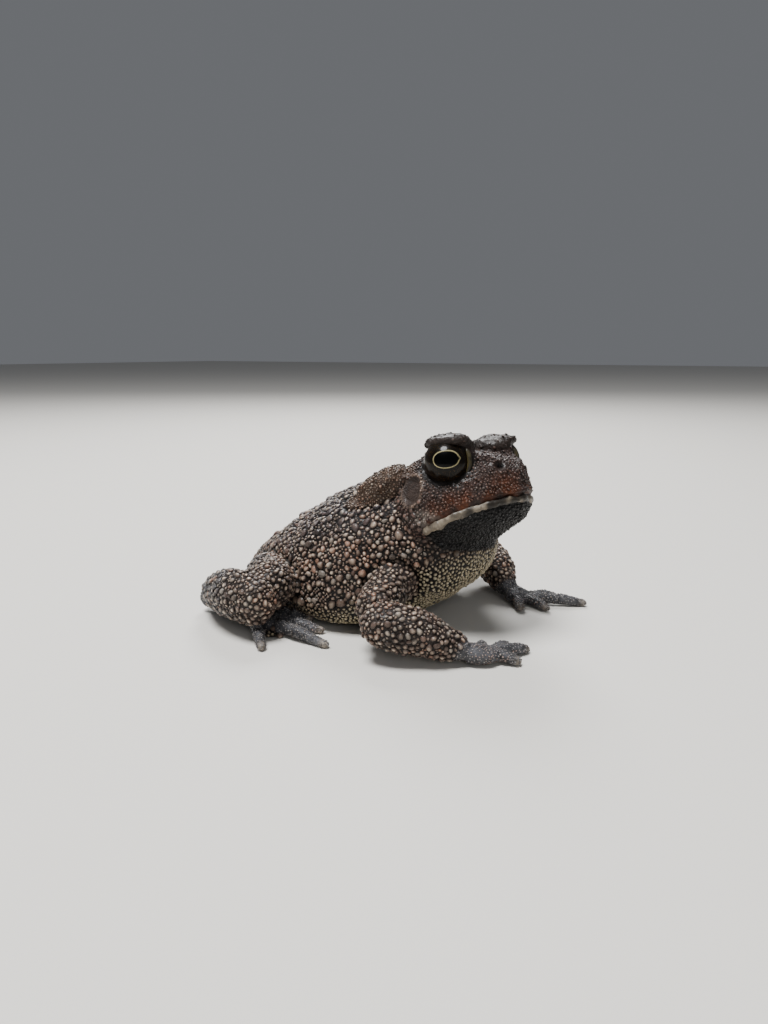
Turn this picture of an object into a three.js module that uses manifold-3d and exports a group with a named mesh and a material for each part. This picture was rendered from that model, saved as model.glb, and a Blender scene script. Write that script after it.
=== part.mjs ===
// American toad, life size, sitting with its chest raised on its forelimbs and its head up.
// Millimetres, +Z up. The toad faces -Y, and its left side is +X.
// Places in the tables are [forward, left, up] from a point on the ground under the body.
import * as THREE from "three";
import { mergeVertices } from "three/addons/utils/BufferGeometryUtils.js";
import { ParametricGeometry } from "three/addons/geometries/ParametricGeometry.js";
import Module from "manifold-3d";

const wasm = await Module();
wasm.setup();

// Driving dimensions
const GAP = 0.3; // between neighbouring parts
const GROUND = 0; // level of the small flats that the toad rests on
const EYE_RADIUS = 4.8;
const EYE_SPAN = 19.4; // between the centres of the two eyeballs
const HEAD_YAW = THREE.MathUtils.degToRad(8); // head turned to the toad's right
const HEAD_PITCH = THREE.MathUtils.degToRad(11); // head tilted up
const HEAD_ROLL = THREE.MathUtils.degToRad(5); // head leaning to the left
const HEAD_PLACE = [17.0, -1.9, 36.6]; // midpoint between the eyes
const SNOUT_CAP = 3.2; // length of the snout's rounded front
const EYE_STANDOUT = 0.5; // of the eyeball's middle beyond the flat outer face of the orbit
const LIP_RADIUS = 0.75;
const LIP_SUNK = 0.35; // of the lower lip's rim in the skin
const WART_SEED = 41;
const WART_HEIGHT = 0.58; // of a wart's radius
const WART_SUNK = 0.12; // of a wart's radius, from the skin down to the wart's middle
const WART_SPACE = 0.35; // between two warts
const WART_CLEARANCE = 1.0; // between a wart and another part
const WART_TRIES = 40; // places tried for each wart
const FINGER_ARCH = 0.6; // of a finger's middle above the ground
const TOE_ARCH = 0.9;
const WEB_SHARE = 0.45; // of the toes' length
const WEB_UNDERSIDE = 0.35;
const WEB_THICKNESS = 0.7;
const BODY_MIDDLE = [-2.9, 0]; // forward and left, of the whole toad's middle
const FAR = 30; // beyond every side of the head

const COLOURS = {
  back: 0x4a3d35,
  limb: 0x54453b,
  head: 0x4b3834,
  gland: 0x53402f,
  throat: 0x2b2826,
  hand: 0x5d5a5a,
  ear: 0x3d3433,
  eye: 0x0d0b09,
};

// A value row between the rows of a table whose first column is the position: a cubic with smooth slopes.
function along(rows, s) {
  const last = rows.length - 1;
  let i = 0;
  while (i < last - 1 && s > rows[i + 1][0]) {
    i += 1;
  }
  const [a, b] = [rows[i], rows[i + 1]];
  const span = b[0] - a[0];
  const t = THREE.MathUtils.clamp((s - a[0]) / span, 0, 1);
  const before = rows[Math.max(i - 1, 0)];
  const after = rows[Math.min(i + 2, last)];
  return a.map((_, k) => {
    const slopeA = ((b[k] - before[k]) / (b[0] - before[0])) * span;
    const slopeB = ((after[k] - a[k]) / (after[0] - a[0])) * span;
    const t2 = t * t;
    const t3 = t2 * t;
    const values = (2 * t3 - 3 * t2 + 1) * a[k] + (3 * t2 - 2 * t3) * b[k];
    const slopes = (t3 - 2 * t2 + t) * slopeA + (t3 - t2) * slopeB;
    return values + slopes;
  });
}

// How much of its full size a section has near a rounded end, from 0 at the end to 1 past the cap's length.
function capShare(distance, length) {
  const u = THREE.MathUtils.clamp(1 - distance / length, 0, 1);
  return Math.sqrt(1 - u * u);
}

const power = (value, exponent) => Math.sign(value) * Math.abs(value) ** exponent;
const place = (forward, left, up) => new THREE.Vector3(left, -forward, up);
const sunkPosition = (u) => (1 - Math.cos(Math.PI * u)) / 2;

// Trunk or head: upright sections [forward, top, bottom, half width, height of the widest point],
// each a superellipse, closed by rounded caps at the rear and the front.
function trunkSurface(rows, caps, squareTop, squareBottom) {
  const [first, last] = [rows[0][0], rows[rows.length - 1][0]];
  return (u, v, grow = 0) => {
    const s = first - grow + (last - first + 2 * grow) * sunkPosition(u);
    const inside = THREE.MathUtils.clamp(s, first, last);
    const [, top, bottom, halfWidth, wide] = along(rows, inside);
    const cap = Math.min(
      capShare(s - first + grow, caps[0] + grow),
      capShare(last + grow - s, caps[1] + grow),
    );
    const angle = 2 * Math.PI * v;
    const [c, d] = [Math.cos(angle), Math.sin(angle)];
    const square = d > 0 ? squareTop : squareBottom;
    const height = d > 0 ? top - wide + grow : wide - bottom + grow;
    const across = (halfWidth + grow) * cap * power(c, 2 / square);
    return place(s, across, wide + height * cap * power(d, 2 / square));
  };
}

const TANGENT_STEP = 0.2; // to each side of a place, for the direction of a limb's line there

// Limb or digit: oval sections along a bent line of points [forward, left, up, half width, half thickness].
function limbSurface(points) {
  const line = points.map((p) => new THREE.Vector3(...p.slice(0, 3)));
  const rows = [];
  points.reduce((length, p, i) => {
    const reach = i ? length + line[i].distanceTo(line[i - 1]) : 0;
    rows.push([reach, ...p]);
    return reach;
  }, 0);
  const length = rows[rows.length - 1][0];
  const caps = [points[0][3], points[points.length - 1][3]];
  return (u, v, grow = 0) => {
    const s = -grow + (length + 2 * grow) * sunkPosition(u);
    const inside = THREE.MathUtils.clamp(s, 0, length);
    const [, f, l, z, a, b] = along(rows, inside);
    const ahead = along(rows, Math.min(inside + TANGENT_STEP, length));
    const behind = along(rows, Math.max(inside - TANGENT_STEP, 0));
    const tangent = place(...ahead.slice(1, 4)).sub(place(...behind.slice(1, 4))).normalize();
    const side = new THREE.Vector3().crossVectors(tangent, new THREE.Vector3(0, 0, 1)).normalize();
    const up = new THREE.Vector3().crossVectors(side, tangent);
    const cap = Math.min(capShare(s + grow, caps[0] + grow), capShare(length + grow - s, caps[1] + grow));
    const angle = 2 * Math.PI * v;
    return place(f, l, z)
      .addScaledVector(tangent, s - inside)
      .addScaledVector(side, (a + grow) * cap * Math.cos(angle))
      .addScaledVector(up, (b + grow) * cap * Math.sin(angle));
  };
}

// A three.js geometry as a solid. Vertices in one place are merged and faces with no area dropped.
function solidOf(geometry) {
  const bare = geometry.index ? geometry.toNonIndexed() : geometry.clone();
  bare.deleteAttribute("normal");
  bare.deleteAttribute("uv");
  const merged = mergeVertices(bare, 1e-4);
  const index = [];
  for (let i = 0; i < merged.index.count; i += 3) {
    const [a, b, c] = [0, 1, 2].map((k) => merged.index.getX(i + k));
    if (a !== b && b !== c && c !== a) index.push(a, b, c);
  }
  const mesh = new wasm.Mesh({
    numProp: 3,
    vertProperties: merged.attributes.position.array,
    triVerts: new Uint32Array(index),
  });
  mesh.merge();
  const made = new wasm.Manifold(mesh);
  if (made.volume() > 0) return made;
  for (let i = 0; i < index.length; i += 3) {
    [index[i], index[i + 1]] = [index[i + 1], index[i]];
  }
  return new wasm.Manifold(
    new wasm.Mesh({ numProp: 3, vertProperties: mesh.vertProperties, triVerts: new Uint32Array(index) }),
  );
}

// A surface of two parameters as a closed solid, with so many steps along it and around it.
function closed(surface, stepsAlong, stepsAround, grow = 0, matrix = null) {
  const geometry = new ParametricGeometry(
    (u, v, target) => target.copy(surface(u, v % 1, grow)),
    stepsAlong,
    stepsAround,
  );
  if (matrix) geometry.applyMatrix4(matrix);
  return solidOf(geometry);
}

// An ellipsoid of [half width, half length, half height] at a point, turned by a matrix's rotation.
function ellipsoid(centre, sizes, turn = new THREE.Matrix4(), steps = [12, 8]) {
  const geometry = new THREE.SphereGeometry(1, steps[0], steps[1]);
  geometry.scale(...sizes);
  geometry.applyMatrix4(turn);
  geometry.translate(centre.x, centre.y, centre.z);
  return solidOf(geometry);
}

const joined = (pieces) => pieces.reduce((all, piece) => all.add(piece));
const cutBy = (solid, cutters) => cutters.reduce((left, cutter) => left.subtract(cutter), solid);
const largest = (solid) => solid.decompose().reduce((a, b) => (a.volume() > b.volume() ? a : b));
const mirrored = (points) => points.map(([f, l, ...rest]) => [f, -l, ...rest]);

// Head frame: [forward, left, up] from the midpoint between the eyes,
// turned by the head's yaw, pitch and roll.
const headTurn = new THREE.Matrix4()
  .makeRotationZ(-HEAD_YAW)
  .multiply(new THREE.Matrix4().makeRotationX(-HEAD_PITCH))
  .multiply(new THREE.Matrix4().makeRotationY(HEAD_ROLL));
const headMatrix = new THREE.Matrix4().makeTranslation(place(...HEAD_PLACE)).multiply(headTurn);
const inHead = (forward, left, up) => place(forward, left, up).applyMatrix4(headMatrix);

// Trunk: sections from the vent to the breast.
const TRUNK = [
  [-42, 10.0, 4.0, 6.0, 7.0],
  [-38, 13.0, 1.6, 11.5, 7.0],
  [-32, 16.9, 0.4, 16.5, 7.6],
  [-24, 22.3, -0.4, 21.4, 7.6],
  [-14, 28.2, -0.6, 24.0, 7.6],
  [-4, 32.0, -0.4, 24.2, 8.0],
  [4, 34.4, 1.4, 20.8, 11.0],
  [10, 35.4, 4.6, 17.4, 16.0],
  [15, 34.0, 8.0, 14.8, 17.0],
  [20, 28.0, 11.6, 11.5, 17.5],
];
const trunk = trunkSurface(TRUNK, [5, 6], 2.1, 2.9);

// Skull and throat in the head frame: sections from the neck to the snout.
const SKULL = [
  [-14, 1.0, -21.0, 13.6, -10.0],
  [-9, 2.2, -20.6, 14.8, -11.0],
  [-4, 2.4, -19.2, 15.0, -11.6],
  [0, 2.0, -17.6, 14.2, -11.6],
  [4, 1.2, -15.6, 11.9, -10.4],
  [7.5, 0.1, -14.0, 9.2, -9.2],
  [9.6, -0.9, -13.0, 6.7, -8.2],
  [11.6, -2.4, -12.0, 4.7, -7.6],
];
const skull = trunkSurface(SKULL, [4, SNOUT_CAP], 2.4, 2.0);

const RIGHT_ARM = {
  upper_arm: [
    [5.5, -10, 13.5, 4.2, 4.4],
    [6.5, -18, 11.8, 4.2, 4.4],
    [7.5, -25, 9.8, 4.0, 4.3],
    [8.5, -30.5, 8, 3.4, 3.5],
  ],
  forearm: [
    [7.6, -31.0, 7.6, 3.4, 3.4],
    [12, -30.2, 7.4, 4.3, 4.6],
    [18, -27.6, 6.2, 4.2, 4.5],
    [23, -25.0, 4.2, 3.0, 3.2],
    [27, -22.8, 2.6, 2.2, 1.9],
  ],
  palm: [
    [25.5, -23.6, 2.4, 2.2, 2.0],
    [28.6, -21.0, 1.9, 3.2, 1.8],
    [31.0, -18.6, 1.4, 2.6, 1.4],
  ],
  fingers: [
    [[27.5, -20.5], [25.8, -13.6], 1.15],
    [[29.5, -19.5], [30.2, -10.8], 1.15],
    [[30, -19], [34.6, -10.8], 1.2],
    [[29.8, -20], [36.2, -18.2], 1.15],
  ],
};
const LEFT_ARM = {
  upper_arm: [
    [6, 10, 13.5, 4.2, 4.4],
    [5.5, 18, 11.8, 4.2, 4.4],
    [5, 24.5, 9.8, 4.0, 4.3],
    [4.2, 29.2, 8, 3.4, 3.5],
  ],
  forearm: [
    [3.8, 29.6, 7.4, 3.4, 3.4],
    [7.6, 27.4, 7.4, 4.3, 4.6],
    [12, 23.2, 6.2, 4.2, 4.4],
    [15.6, 19.6, 4.2, 3.0, 3.2],
    [18.6, 17.0, 2.6, 2.2, 1.9],
  ],
  palm: [
    [17.2, 18.0, 2.4, 2.2, 2.0],
    [20.6, 17.2, 1.9, 3.2, 1.8],
    [23.6, 17.4, 1.4, 2.6, 1.4],
  ],
  fingers: [
    [[20.5, 16.4], [24.0, 10.6], 1.15],
    [[22.5, 17], [29.6, 14.2], 1.15],
    [[23, 17.6], [35.6, 23.4], 1.25],
    [[22, 18], [27.4, 25.4], 1.15],
  ],
};
const RIGHT_LEG = {
  thigh: [
    [-33, -7, 6.4, 4.4, 4.4],
    [-30, -14, 7.0, 5.0, 4.8],
    [-24.5, -21.5, 9.0, 5.2, 5.4],
    [-18.5, -27.5, 9.8, 4.8, 5.2],
    [-14.6, -30.5, 9.2, 3.8, 4.2],
  ],
  shank: [
    [-13.6, -32.4, 8.0, 3.4, 3.8],
    [-18, -33.8, 8.2, 4.4, 5.2],
    [-25, -32.2, 8.0, 4.6, 5.4],
    [-31.5, -29.4, 6.6, 3.9, 4.4],
    [-37.4, -26.5, 5.0, 2.8, 3.2],
  ],
  tarsus: [
    [-40.5, -26.5, 4.2, 2.6, 2.8],
    [-34, -26.0, 2.6, 2.6, 2.3],
    [-27, -27.4, 1.9, 2.8, 1.9],
    [-21, -29.2, 1.5, 3.4, 1.5],
  ],
  toes: [
    [[-23, -26.5], [-18.0, -19.4], 1.05],
    [[-22, -27], [-12.6, -20.6], 1.1],
    [[-21, -28], [-6.6, -24.6], 1.2],
    [[-20.5, -29.5], [-1.0, -31.0], 1.25],
    [[-21, -31], [-11.2, -39.6], 1.15],
  ],
};
const LEFT_LEG = {
  thigh: mirrored(RIGHT_LEG.thigh),
  shank: mirrored(RIGHT_LEG.shank),
  tarsus: mirrored(RIGHT_LEG.tarsus),
  toes: RIGHT_LEG.toes.map(([from, to, radius]) => [...mirrored([from, to]), radius]),
};

// One finger or toe: thick at the root, a slight knuckle half way, a blunt tip lying on the ground.
function digit([from, to, radius], arch) {
  const at = (t) => [from[0] + (to[0] - from[0]) * t, from[1] + (to[1] - from[1]) * t];
  return limbSurface([
    [...at(0), 1.6, radius * 1.25, radius * 1.15],
    [...at(0.35), 1.1 + arch, radius, radius],
    [...at(0.62), 1.0 + arch * 0.8, radius * 1.1, radius * 1.05],
    [...at(0.85), 0.95, radius * 0.85, radius * 0.85],
    [...at(1), 0.75, radius * 0.8, radius * 0.75],
  ]);
}

// The web between two neighbouring toes: a thin plate from their roots to a share of their length.
function web([fromA, toA], [fromB, toB], share) {
  const mix = (p, q, t) => [p[0] + (q[0] - p[0]) * t, p[1] + (q[1] - p[1]) * t];
  const [tipA, tipB] = [mix(fromA, toA, share), mix(fromB, toB, share)];
  const notch = mix(mix(tipA, tipB, 0.5), mix(fromA, fromB, 0.5), 0.35);
  const outline = new THREE.Shape();
  outline.moveTo(fromA[1], -fromA[0]);
  outline.lineTo(tipA[1], -tipA[0]);
  outline.quadraticCurveTo(notch[1], -notch[0], tipB[1], -tipB[0]);
  outline.lineTo(fromB[1], -fromB[0]);
  outline.closePath();
  const settings = { depth: WEB_THICKNESS, bevelEnabled: false, curveSegments: 5 };
  const plate = new THREE.ExtrudeGeometry(outline, settings);
  plate.translate(0, 0, WEB_UNDERSIDE);
  return solidOf(plate);
}

// All the room above the ground, which cuts the small flats under the belly, hands and feet
const above = solidOf(new THREE.BoxGeometry(300, 300, 100).translate(0, 0, 50 + GROUND));
const side = (name) => (name === "right" ? -1 : 1);

// Eyeballs, and the sockets cut round them
function eyeball(name, grow = 0) {
  const geometry = new THREE.SphereGeometry(EYE_RADIUS + grow, 18, 10);
  geometry.rotateZ(Math.PI / 2);
  geometry.applyMatrix4(headTurn);
  const centre = inHead(0, (side(name) * EYE_SPAN) / 2, 0);
  return solidOf(geometry.translate(centre.x, centre.y, centre.z));
}

// All that lies inside a side profile of [forward, up] points in the head frame, across the whole head.
function headPrism(profile) {
  const outline = new THREE.Shape(profile.map(([forward, up]) => new THREE.Vector2(forward, up)));
  const prism = new THREE.ExtrudeGeometry(outline, { depth: 2 * FAR, bevelEnabled: false });
  prism.translate(0, 0, -FAR);
  const turn = new THREE.Matrix4().makeBasis(
    new THREE.Vector3(0, -1, 0),
    new THREE.Vector3(0, 0, 1),
    new THREE.Vector3(-1, 0, 0),
  );
  prism.applyMatrix4(turn).applyMatrix4(headMatrix);
  return solidOf(prism);
}

// Mouth: the line of the lips in side view, and the lower jaw's rear edge
const LIP_LINE = [
  [16, -7.5],
  [11.6, -7.9],
  [8, -8.6],
  [3.5, -10],
  [-3.6, -13],
];
const JAW_BACK = [
  [-4.6, -17],
  [-5, -30],
];
const jawBox = headPrism([...LIP_LINE, ...JAW_BACK, [LIP_LINE[0][0], -FAR]]);
const LIP_SLOPE = 0.3; // share of the gap that the lips' line moves back when it moves up by the gap
const jawBoxGrown = headPrism([
  ...LIP_LINE.map(([f, u]) => [f - GAP * LIP_SLOPE, u + GAP]),
  ...JAW_BACK.map(([f, u]) => [f - GAP, u]),
  [LIP_LINE[0][0], -FAR - GAP],
]);

// Lower lip: a rounded rim from one corner of the mouth round the snout to the other
function lipPoint(f, sign) {
  const inside = THREE.MathUtils.clamp(f, SKULL[0][0], SKULL[SKULL.length - 1][0]);
  const [, , bottom, halfWidth, wide] = along(SKULL, inside);
  const cap = capShare(SKULL[SKULL.length - 1][0] - f, SNOUT_CAP);
  const k = LIP_LINE.findIndex((point) => point[0] <= f);
  const [ahead, behind] = [LIP_LINE[k - 1], LIP_LINE[k]];
  const share = (f - behind[0]) / (ahead[0] - behind[0]);
  const up = behind[1] + (ahead[1] - behind[1]) * share - LIP_RADIUS;
  const drop = Math.min(Math.abs(up - wide) / ((wide - bottom) * cap), 1);
  const out = Math.max(halfWidth * cap * Math.sqrt(1 - drop * drop) - LIP_SUNK, 0);
  return [f, sign * out, up, LIP_RADIUS, LIP_RADIUS];
}
const LIP_STATIONS = [-3, 0, 3, 6, 8.2, 10, 11.1];
const lipPoints = [
  ...LIP_STATIONS.map((f) => lipPoint(f, -1)),
  ...LIP_STATIONS.toReversed().map((f) => lipPoint(f, 1)),
];
const lip = closed(limbSurface(lipPoints), 18, 6, 0, headMatrix).intersect(jawBox);

// Neck: the head ends behind the ears and at the crease between throat and breast.
const NECK_LINE = [
  [-10.5, FAR],
  [-11.2, -6],
  [-7.5, -14.5],
  [-1.5, -19],
  [12, -23],
  [40, -23],
];
const frontBox = headPrism([...NECK_LINE, [40, FAR]]);
const frontBoxGrown = headPrism([...NECK_LINE.map(([f, u]) => [f - GAP, u - GAP]), [40, FAR]]);

// Forms on each side of the head: centres [forward, outward, up] in the head frame and
// sizes [half width, half length, half height]; crests as limb points.
const ORBIT = { centre: [0, 8.6, 0.1], sizes: [5.0, 5.5, 5.3] };
const BROW = { centre: [0, 8.8, 3.0], sizes: [4.4, 5.3, 2.8] };
const BROW_UNDERSIDE = 3.3;
const NOSTRIL_BUMP = { centre: [8.4, 3.0, -1.0], sizes: [1.3, 1.5, 1.0] };
const NOSTRIL = { centre: [8.7, 4.1, -0.9], sizes: [0.5, 0.7, 0.45] };
const SNOUT = { centre: [7.6, 0, -4.6], sizes: [5.4, 4.0, 3.9] };
const CREST_INSIDE_EYE = [
  [4.5, 5.0, 1.4, 0.7, 0.7],
  [0, 4.2, 2.6, 1.0, 1.0],
  [-5.6, 4.8, 2.4, 1.0, 1.0],
];
const CREST_BEHIND_EYE = [
  [-5.4, 4.4, 2.2, 1.0, 1.0],
  [-5.8, 8.2, 1.3, 1.1, 1.1],
  [-5.9, 11.2, -1.4, 1.0, 1.0],
];

// A form of the head as a solid, on the side that the sign gives.
function headForm({ centre: [forward, outward, up], sizes }, sign, steps) {
  return ellipsoid(inHead(forward, sign * outward, up), sizes, headTurn, steps);
}

// A crest of the head as a solid, on the side that the sign gives.
function crest(points, sign) {
  return closed(limbSurface(points.map(([f, l, ...rest]) => [f, sign * l, ...rest])), 6, 6, 0, headMatrix);
}

// What the head carries on one side: the orbit cut flat outside, the brow cut flat below,
// the two crests and the nostril's bump.
function headFeatures(name) {
  const sign = side(name);
  const outer = EYE_SPAN / 2 - EYE_STANDOUT;
  const outside = new THREE.BoxGeometry(FAR, FAR, FAR).translate(sign * (outer + FAR / 2), 0, 0);
  const under = new THREE.BoxGeometry(FAR, FAR, FAR).translate(0, 0, BROW_UNDERSIDE - FAR / 2);
  return joined([
    headForm(ORBIT, sign, [12, 7]).subtract(solidOf(outside.applyMatrix4(headMatrix))),
    headForm(BROW, sign, [12, 6]).subtract(solidOf(under.applyMatrix4(headMatrix))),
    crest(CREST_INSIDE_EYE, sign),
    crest(CREST_BEHIND_EYE, sign),
    headForm(NOSTRIL_BUMP, sign, [10, 6]),
  ]);
}
const nostril = (name) => headForm(NOSTRIL, side(name), [8, 6]);

// Eardrum: an oval disc set in a shallow recess behind and below the eye
const EARDRUM = { centre: [-6.5, 13.2, -5.2], sizes: [1.0, 2.3, 2.8] };
const ear = (name, grow = 0) =>
  headForm({ centre: EARDRUM.centre, sizes: EARDRUM.sizes.map((size) => size + grow) }, side(name), [12, 6]);

// Parotoid gland: a long kidney-shaped swelling above the shoulder
const PAROTOID = [
  [6.6, 9.8, 34.0, 2.3, 2.2],
  [3.4, 11.2, 32.8, 3.1, 3.1],
  [-0.8, 12.3, 30.4, 3.4, 3.3],
  [-5.0, 13.2, 27.2, 2.5, 2.3],
];
const parotoid = (name) => limbSurface(PAROTOID.map(([f, l, ...rest]) => [f, side(name) * l, ...rest]));

// Warts: low domes with their roots sunk in the flesh, at seeded places that keep clear of other parts.
let seed = WART_SEED;
function random() {
  seed = (seed * 1664525 + 1013904223) % 4294967296;
  return seed / 4294967296;
}

// Balls that fill a limb, four for each stretch of its line, to measure how far away it is.
function stations(points) {
  const last = points.length - 1;
  return Array.from({ length: 4 * last + 1 }, (_, i) => {
    const k = Math.min(Math.floor(i / 4), last - 1);
    const t = i / 4 - k;
    const [f, l, z, a, b] = points[k].map((value, j) => value + (points[k + 1][j] - value) * t);
    return { centre: place(f, l, z), radius: Math.max(a, b) };
  });
}

// Whether a point is in the trunk or within a reach of it.
function insideTrunk(point, reach) {
  const f = -point.y;
  if (f < TRUNK[0][0] - reach || f > TRUNK[TRUNK.length - 1][0] + reach) return false;
  const [, top, bottom, halfWidth, wide] = along(TRUNK, f);
  const height = point.z > wide ? top - wide + reach : wide - bottom + reach;
  return Math.hypot(point.x / (halfWidth + reach), (point.z - wide) / height) < 1;
}

// Up to a count of warts on a surface, between two shares of its length,
// none closer than WART_SPACE to another.
function wartsOn(surface, { count, sizes, from, allowed, matrix = null }) {
  const made = [];
  for (let tries = 0; made.length < count && tries < count * WART_TRIES; tries++) {
    const [u, v] = [from[0] + (from[1] - from[0]) * random(), random()];
    const radius = sizes[0] + (sizes[1] - sizes[0]) * random() ** 1.5;
    const at = (du, dv) => {
      const point = surface(u + du, (v + dv + 1) % 1);
      return matrix ? point.applyMatrix4(matrix) : point;
    };
    const centre = at(0, 0);
    const normal = at(0.004, 0).sub(at(-0.004, 0)).cross(at(0, 0.004).sub(at(0, -0.004))).normalize();
    if (normal.dot(centre.clone().sub(at(0, 0.5))) < 0) normal.negate();
    const crowded = made.some(
      (other) => other.centre.distanceTo(centre) < other.radius + radius + WART_SPACE,
    );
    if (!crowded && allowed(centre, normal, radius)) made.push({ centre, normal, radius });
  }
  return made.map(({ centre, normal, radius }) => {
    const dome = new THREE.SphereGeometry(1, 6, 3);
    dome.scale(radius, WART_HEIGHT * radius, radius);
    dome.applyQuaternion(new THREE.Quaternion().setFromUnitVectors(new THREE.Vector3(0, 1, 0), normal));
    const root = centre.clone().addScaledVector(normal, -WART_SUNK * radius);
    return solidOf(dome.translate(root.x, root.y, root.z));
  });
}
const limbStations = Object.fromEntries(
  [["right", RIGHT_ARM, RIGHT_LEG], ["left", LEFT_ARM, LEFT_LEG]].flatMap(([name, arm, leg]) =>
    [...Object.entries(arm), ...Object.entries(leg)]
      .filter(([part]) => !["fingers", "toes"].includes(part))
      .map(([part, points]) => [part + "_" + name, stations(points)]),
  ),
);
const headStations = ["right", "left"].flatMap((name) => [
  { centre: inHead(0, (side(name) * EYE_SPAN) / 2, 0), radius: EYE_RADIUS + 0.8 },
  { centre: inHead(EARDRUM.centre[0], side(name) * EARDRUM.centre[1], EARDRUM.centre[2]), radius: 3 },
  ...stations(PAROTOID.map(([f, l, ...rest]) => [f, side(name) * l, ...rest])),
]);
const clear = (list, point, reach) =>
  list.every(({ centre, radius }) => centre.distanceTo(point) > radius + reach);
const clearOfOthers = (own, point, reach) =>
  Object.entries(limbStations).every(([name, list]) => name === own || clear(list, point, reach)) &&
  clear(headStations, point, reach);

const trunkWarts = wartsOn(trunk, {
  count: 86,
  sizes: [1.1, 2.0],
  from: [0.1, 0.86],
  allowed: (point, normal, radius) =>
    point.z > 7 && normal.z > -0.35 && clearOfOthers("", point, radius + WART_CLEARANCE),
});
const skullWarts = wartsOn(skull, {
  count: 10,
  sizes: [0.8, 1.2],
  from: [0.2, 0.6],
  matrix: headMatrix,
  allowed: (point, normal, radius) =>
    normal.z > -0.5 && normal.z < 0.5 && clearOfOthers("", point, radius + WART_CLEARANCE),
});
const LIMB_WARTS = { upper_arm: 4, forearm: 10, thigh: 6, shank: 12 };

// The whole flesh with its sockets, recesses and nostrils, cut into trunk, head and lower jaw
const glands = ["right", "left"].map((name) => closed(parotoid(name), 8, 10, GAP));
const sockets = ["right", "left"].map((name) => eyeball(name, GAP));
const ears = ["right", "left"].map((name) => ear(name, GAP));
const nostrils = ["right", "left"].map(nostril);
const flesh = joined([
  closed(trunk, 20, 22),
  closed(skull, 15, 20, 0, headMatrix),
  headForm(SNOUT, 1, [12, 8]),
  ...["right", "left"].map(headFeatures),
  ...trunkWarts,
  ...skullWarts,
]);
const bodyWithSockets = cutBy(flesh, [...glands, ...sockets, ...ears, ...nostrils]);
const trunkGrown = closed(trunk, 20, 22, GAP).add(closed(skull, 15, 20, GAP, headMatrix));
const front = bodyWithSockets.intersect(frontBox);
const nodes = {
  torso: { solid: bodyWithSockets.subtract(frontBoxGrown), colour: "back" },
  head: { solid: front.subtract(jawBoxGrown), colour: "head" },
  lower_jaw: { solid: front.intersect(jawBox).add(lip), colour: "throat" },
};

for (const name of ["right", "left"]) {
  const arm = name === "right" ? RIGHT_ARM : LEFT_ARM;
  const leg = name === "right" ? RIGHT_LEG : LEFT_LEG;
  const limb = (points, grow = 0) => closed(limbSurface(points), 10, 12, grow);
  const digits = (lines, arch) => lines.map((line) => closed(digit(line, arch), 6, 6));
  const warty = (part, points) =>
    joined([
      limb(points),
      ...wartsOn(limbSurface(points), {
        count: LIMB_WARTS[part],
        sizes: [1.0, 1.7],
        from: [0.12, 0.88],
        allowed: (point, normal, radius) =>
          point.z > 3 &&
          normal.z > -0.5 &&
          clearOfOthers(part + "_" + name, point, radius + WART_CLEARANCE) &&
          !insideTrunk(point, radius + WART_CLEARANCE),
      }),
    ]);
  const grown = Object.fromEntries(
    [...Object.entries(arm), ...Object.entries(leg)]
      .filter(([part]) => !["fingers", "toes"].includes(part))
      .map(([part, points]) => [part, limb(points, GAP)]),
  );
  nodes["eye_" + name] = { solid: eyeball(name), colour: "eye" };
  nodes["ear_" + name] = { solid: ear(name), colour: "ear" };
  nodes["parotoid_" + name] = { solid: closed(parotoid(name), 8, 10), colour: "gland" };
  nodes["upper_arm_" + name] = {
    solid: warty("upper_arm", arm.upper_arm).subtract(trunkGrown),
    colour: "limb",
  };
  nodes["forearm_" + name] = {
    solid: cutBy(warty("forearm", arm.forearm), [grown.upper_arm, trunkGrown]),
    colour: "limb",
  };
  const hand = joined([closed(limbSurface(arm.palm), 5, 8), ...digits(arm.fingers, FINGER_ARCH)]);
  nodes["hand_" + name] = { solid: hand.subtract(grown.forearm), colour: "hand" };
  nodes["thigh_" + name] = {
    solid: warty("thigh", leg.thigh).subtract(trunkGrown),
    colour: "limb",
  };
  nodes["shank_" + name] = {
    solid: cutBy(warty("shank", leg.shank), [trunkGrown, grown.thigh]),
    colour: "limb",
  };
  const foot = joined([
    closed(limbSurface(leg.tarsus), 7, 8),
    ...digits(leg.toes, TOE_ARCH),
    ...leg.toes.slice(1).map((toe, i) => web(leg.toes[i], toe, WEB_SHARE)),
  ]);
  nodes["foot_" + name] = { solid: cutBy(foot, [trunkGrown, grown.thigh, grown.shank]), colour: "hand" };
}

const toad = new THREE.Group();
for (const [name, { solid, colour }] of Object.entries(nodes)) {
  const made = largest(solid.intersect(above));
  const { vertProperties, triVerts } = made.getMesh();
  const geometry = new THREE.BufferGeometry()
    .setAttribute("position", new THREE.BufferAttribute(vertProperties, 3))
    .setIndex(new THREE.BufferAttribute(triVerts, 1));
  geometry.computeVertexNormals();
  const mesh = new THREE.Mesh(
    geometry,
    new THREE.MeshStandardMaterial({ color: COLOURS[colour], roughness: 0.7, metalness: 0 }),
  );
  mesh.name = name;
  mesh.position.copy(place(-BODY_MIDDLE[0], -BODY_MIDDLE[1], 0));
  toad.add(mesh);
}

export default toad;
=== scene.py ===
import math

import bpy
import numpy as np
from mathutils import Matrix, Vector
from mathutils.kdtree import KDTree


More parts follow.
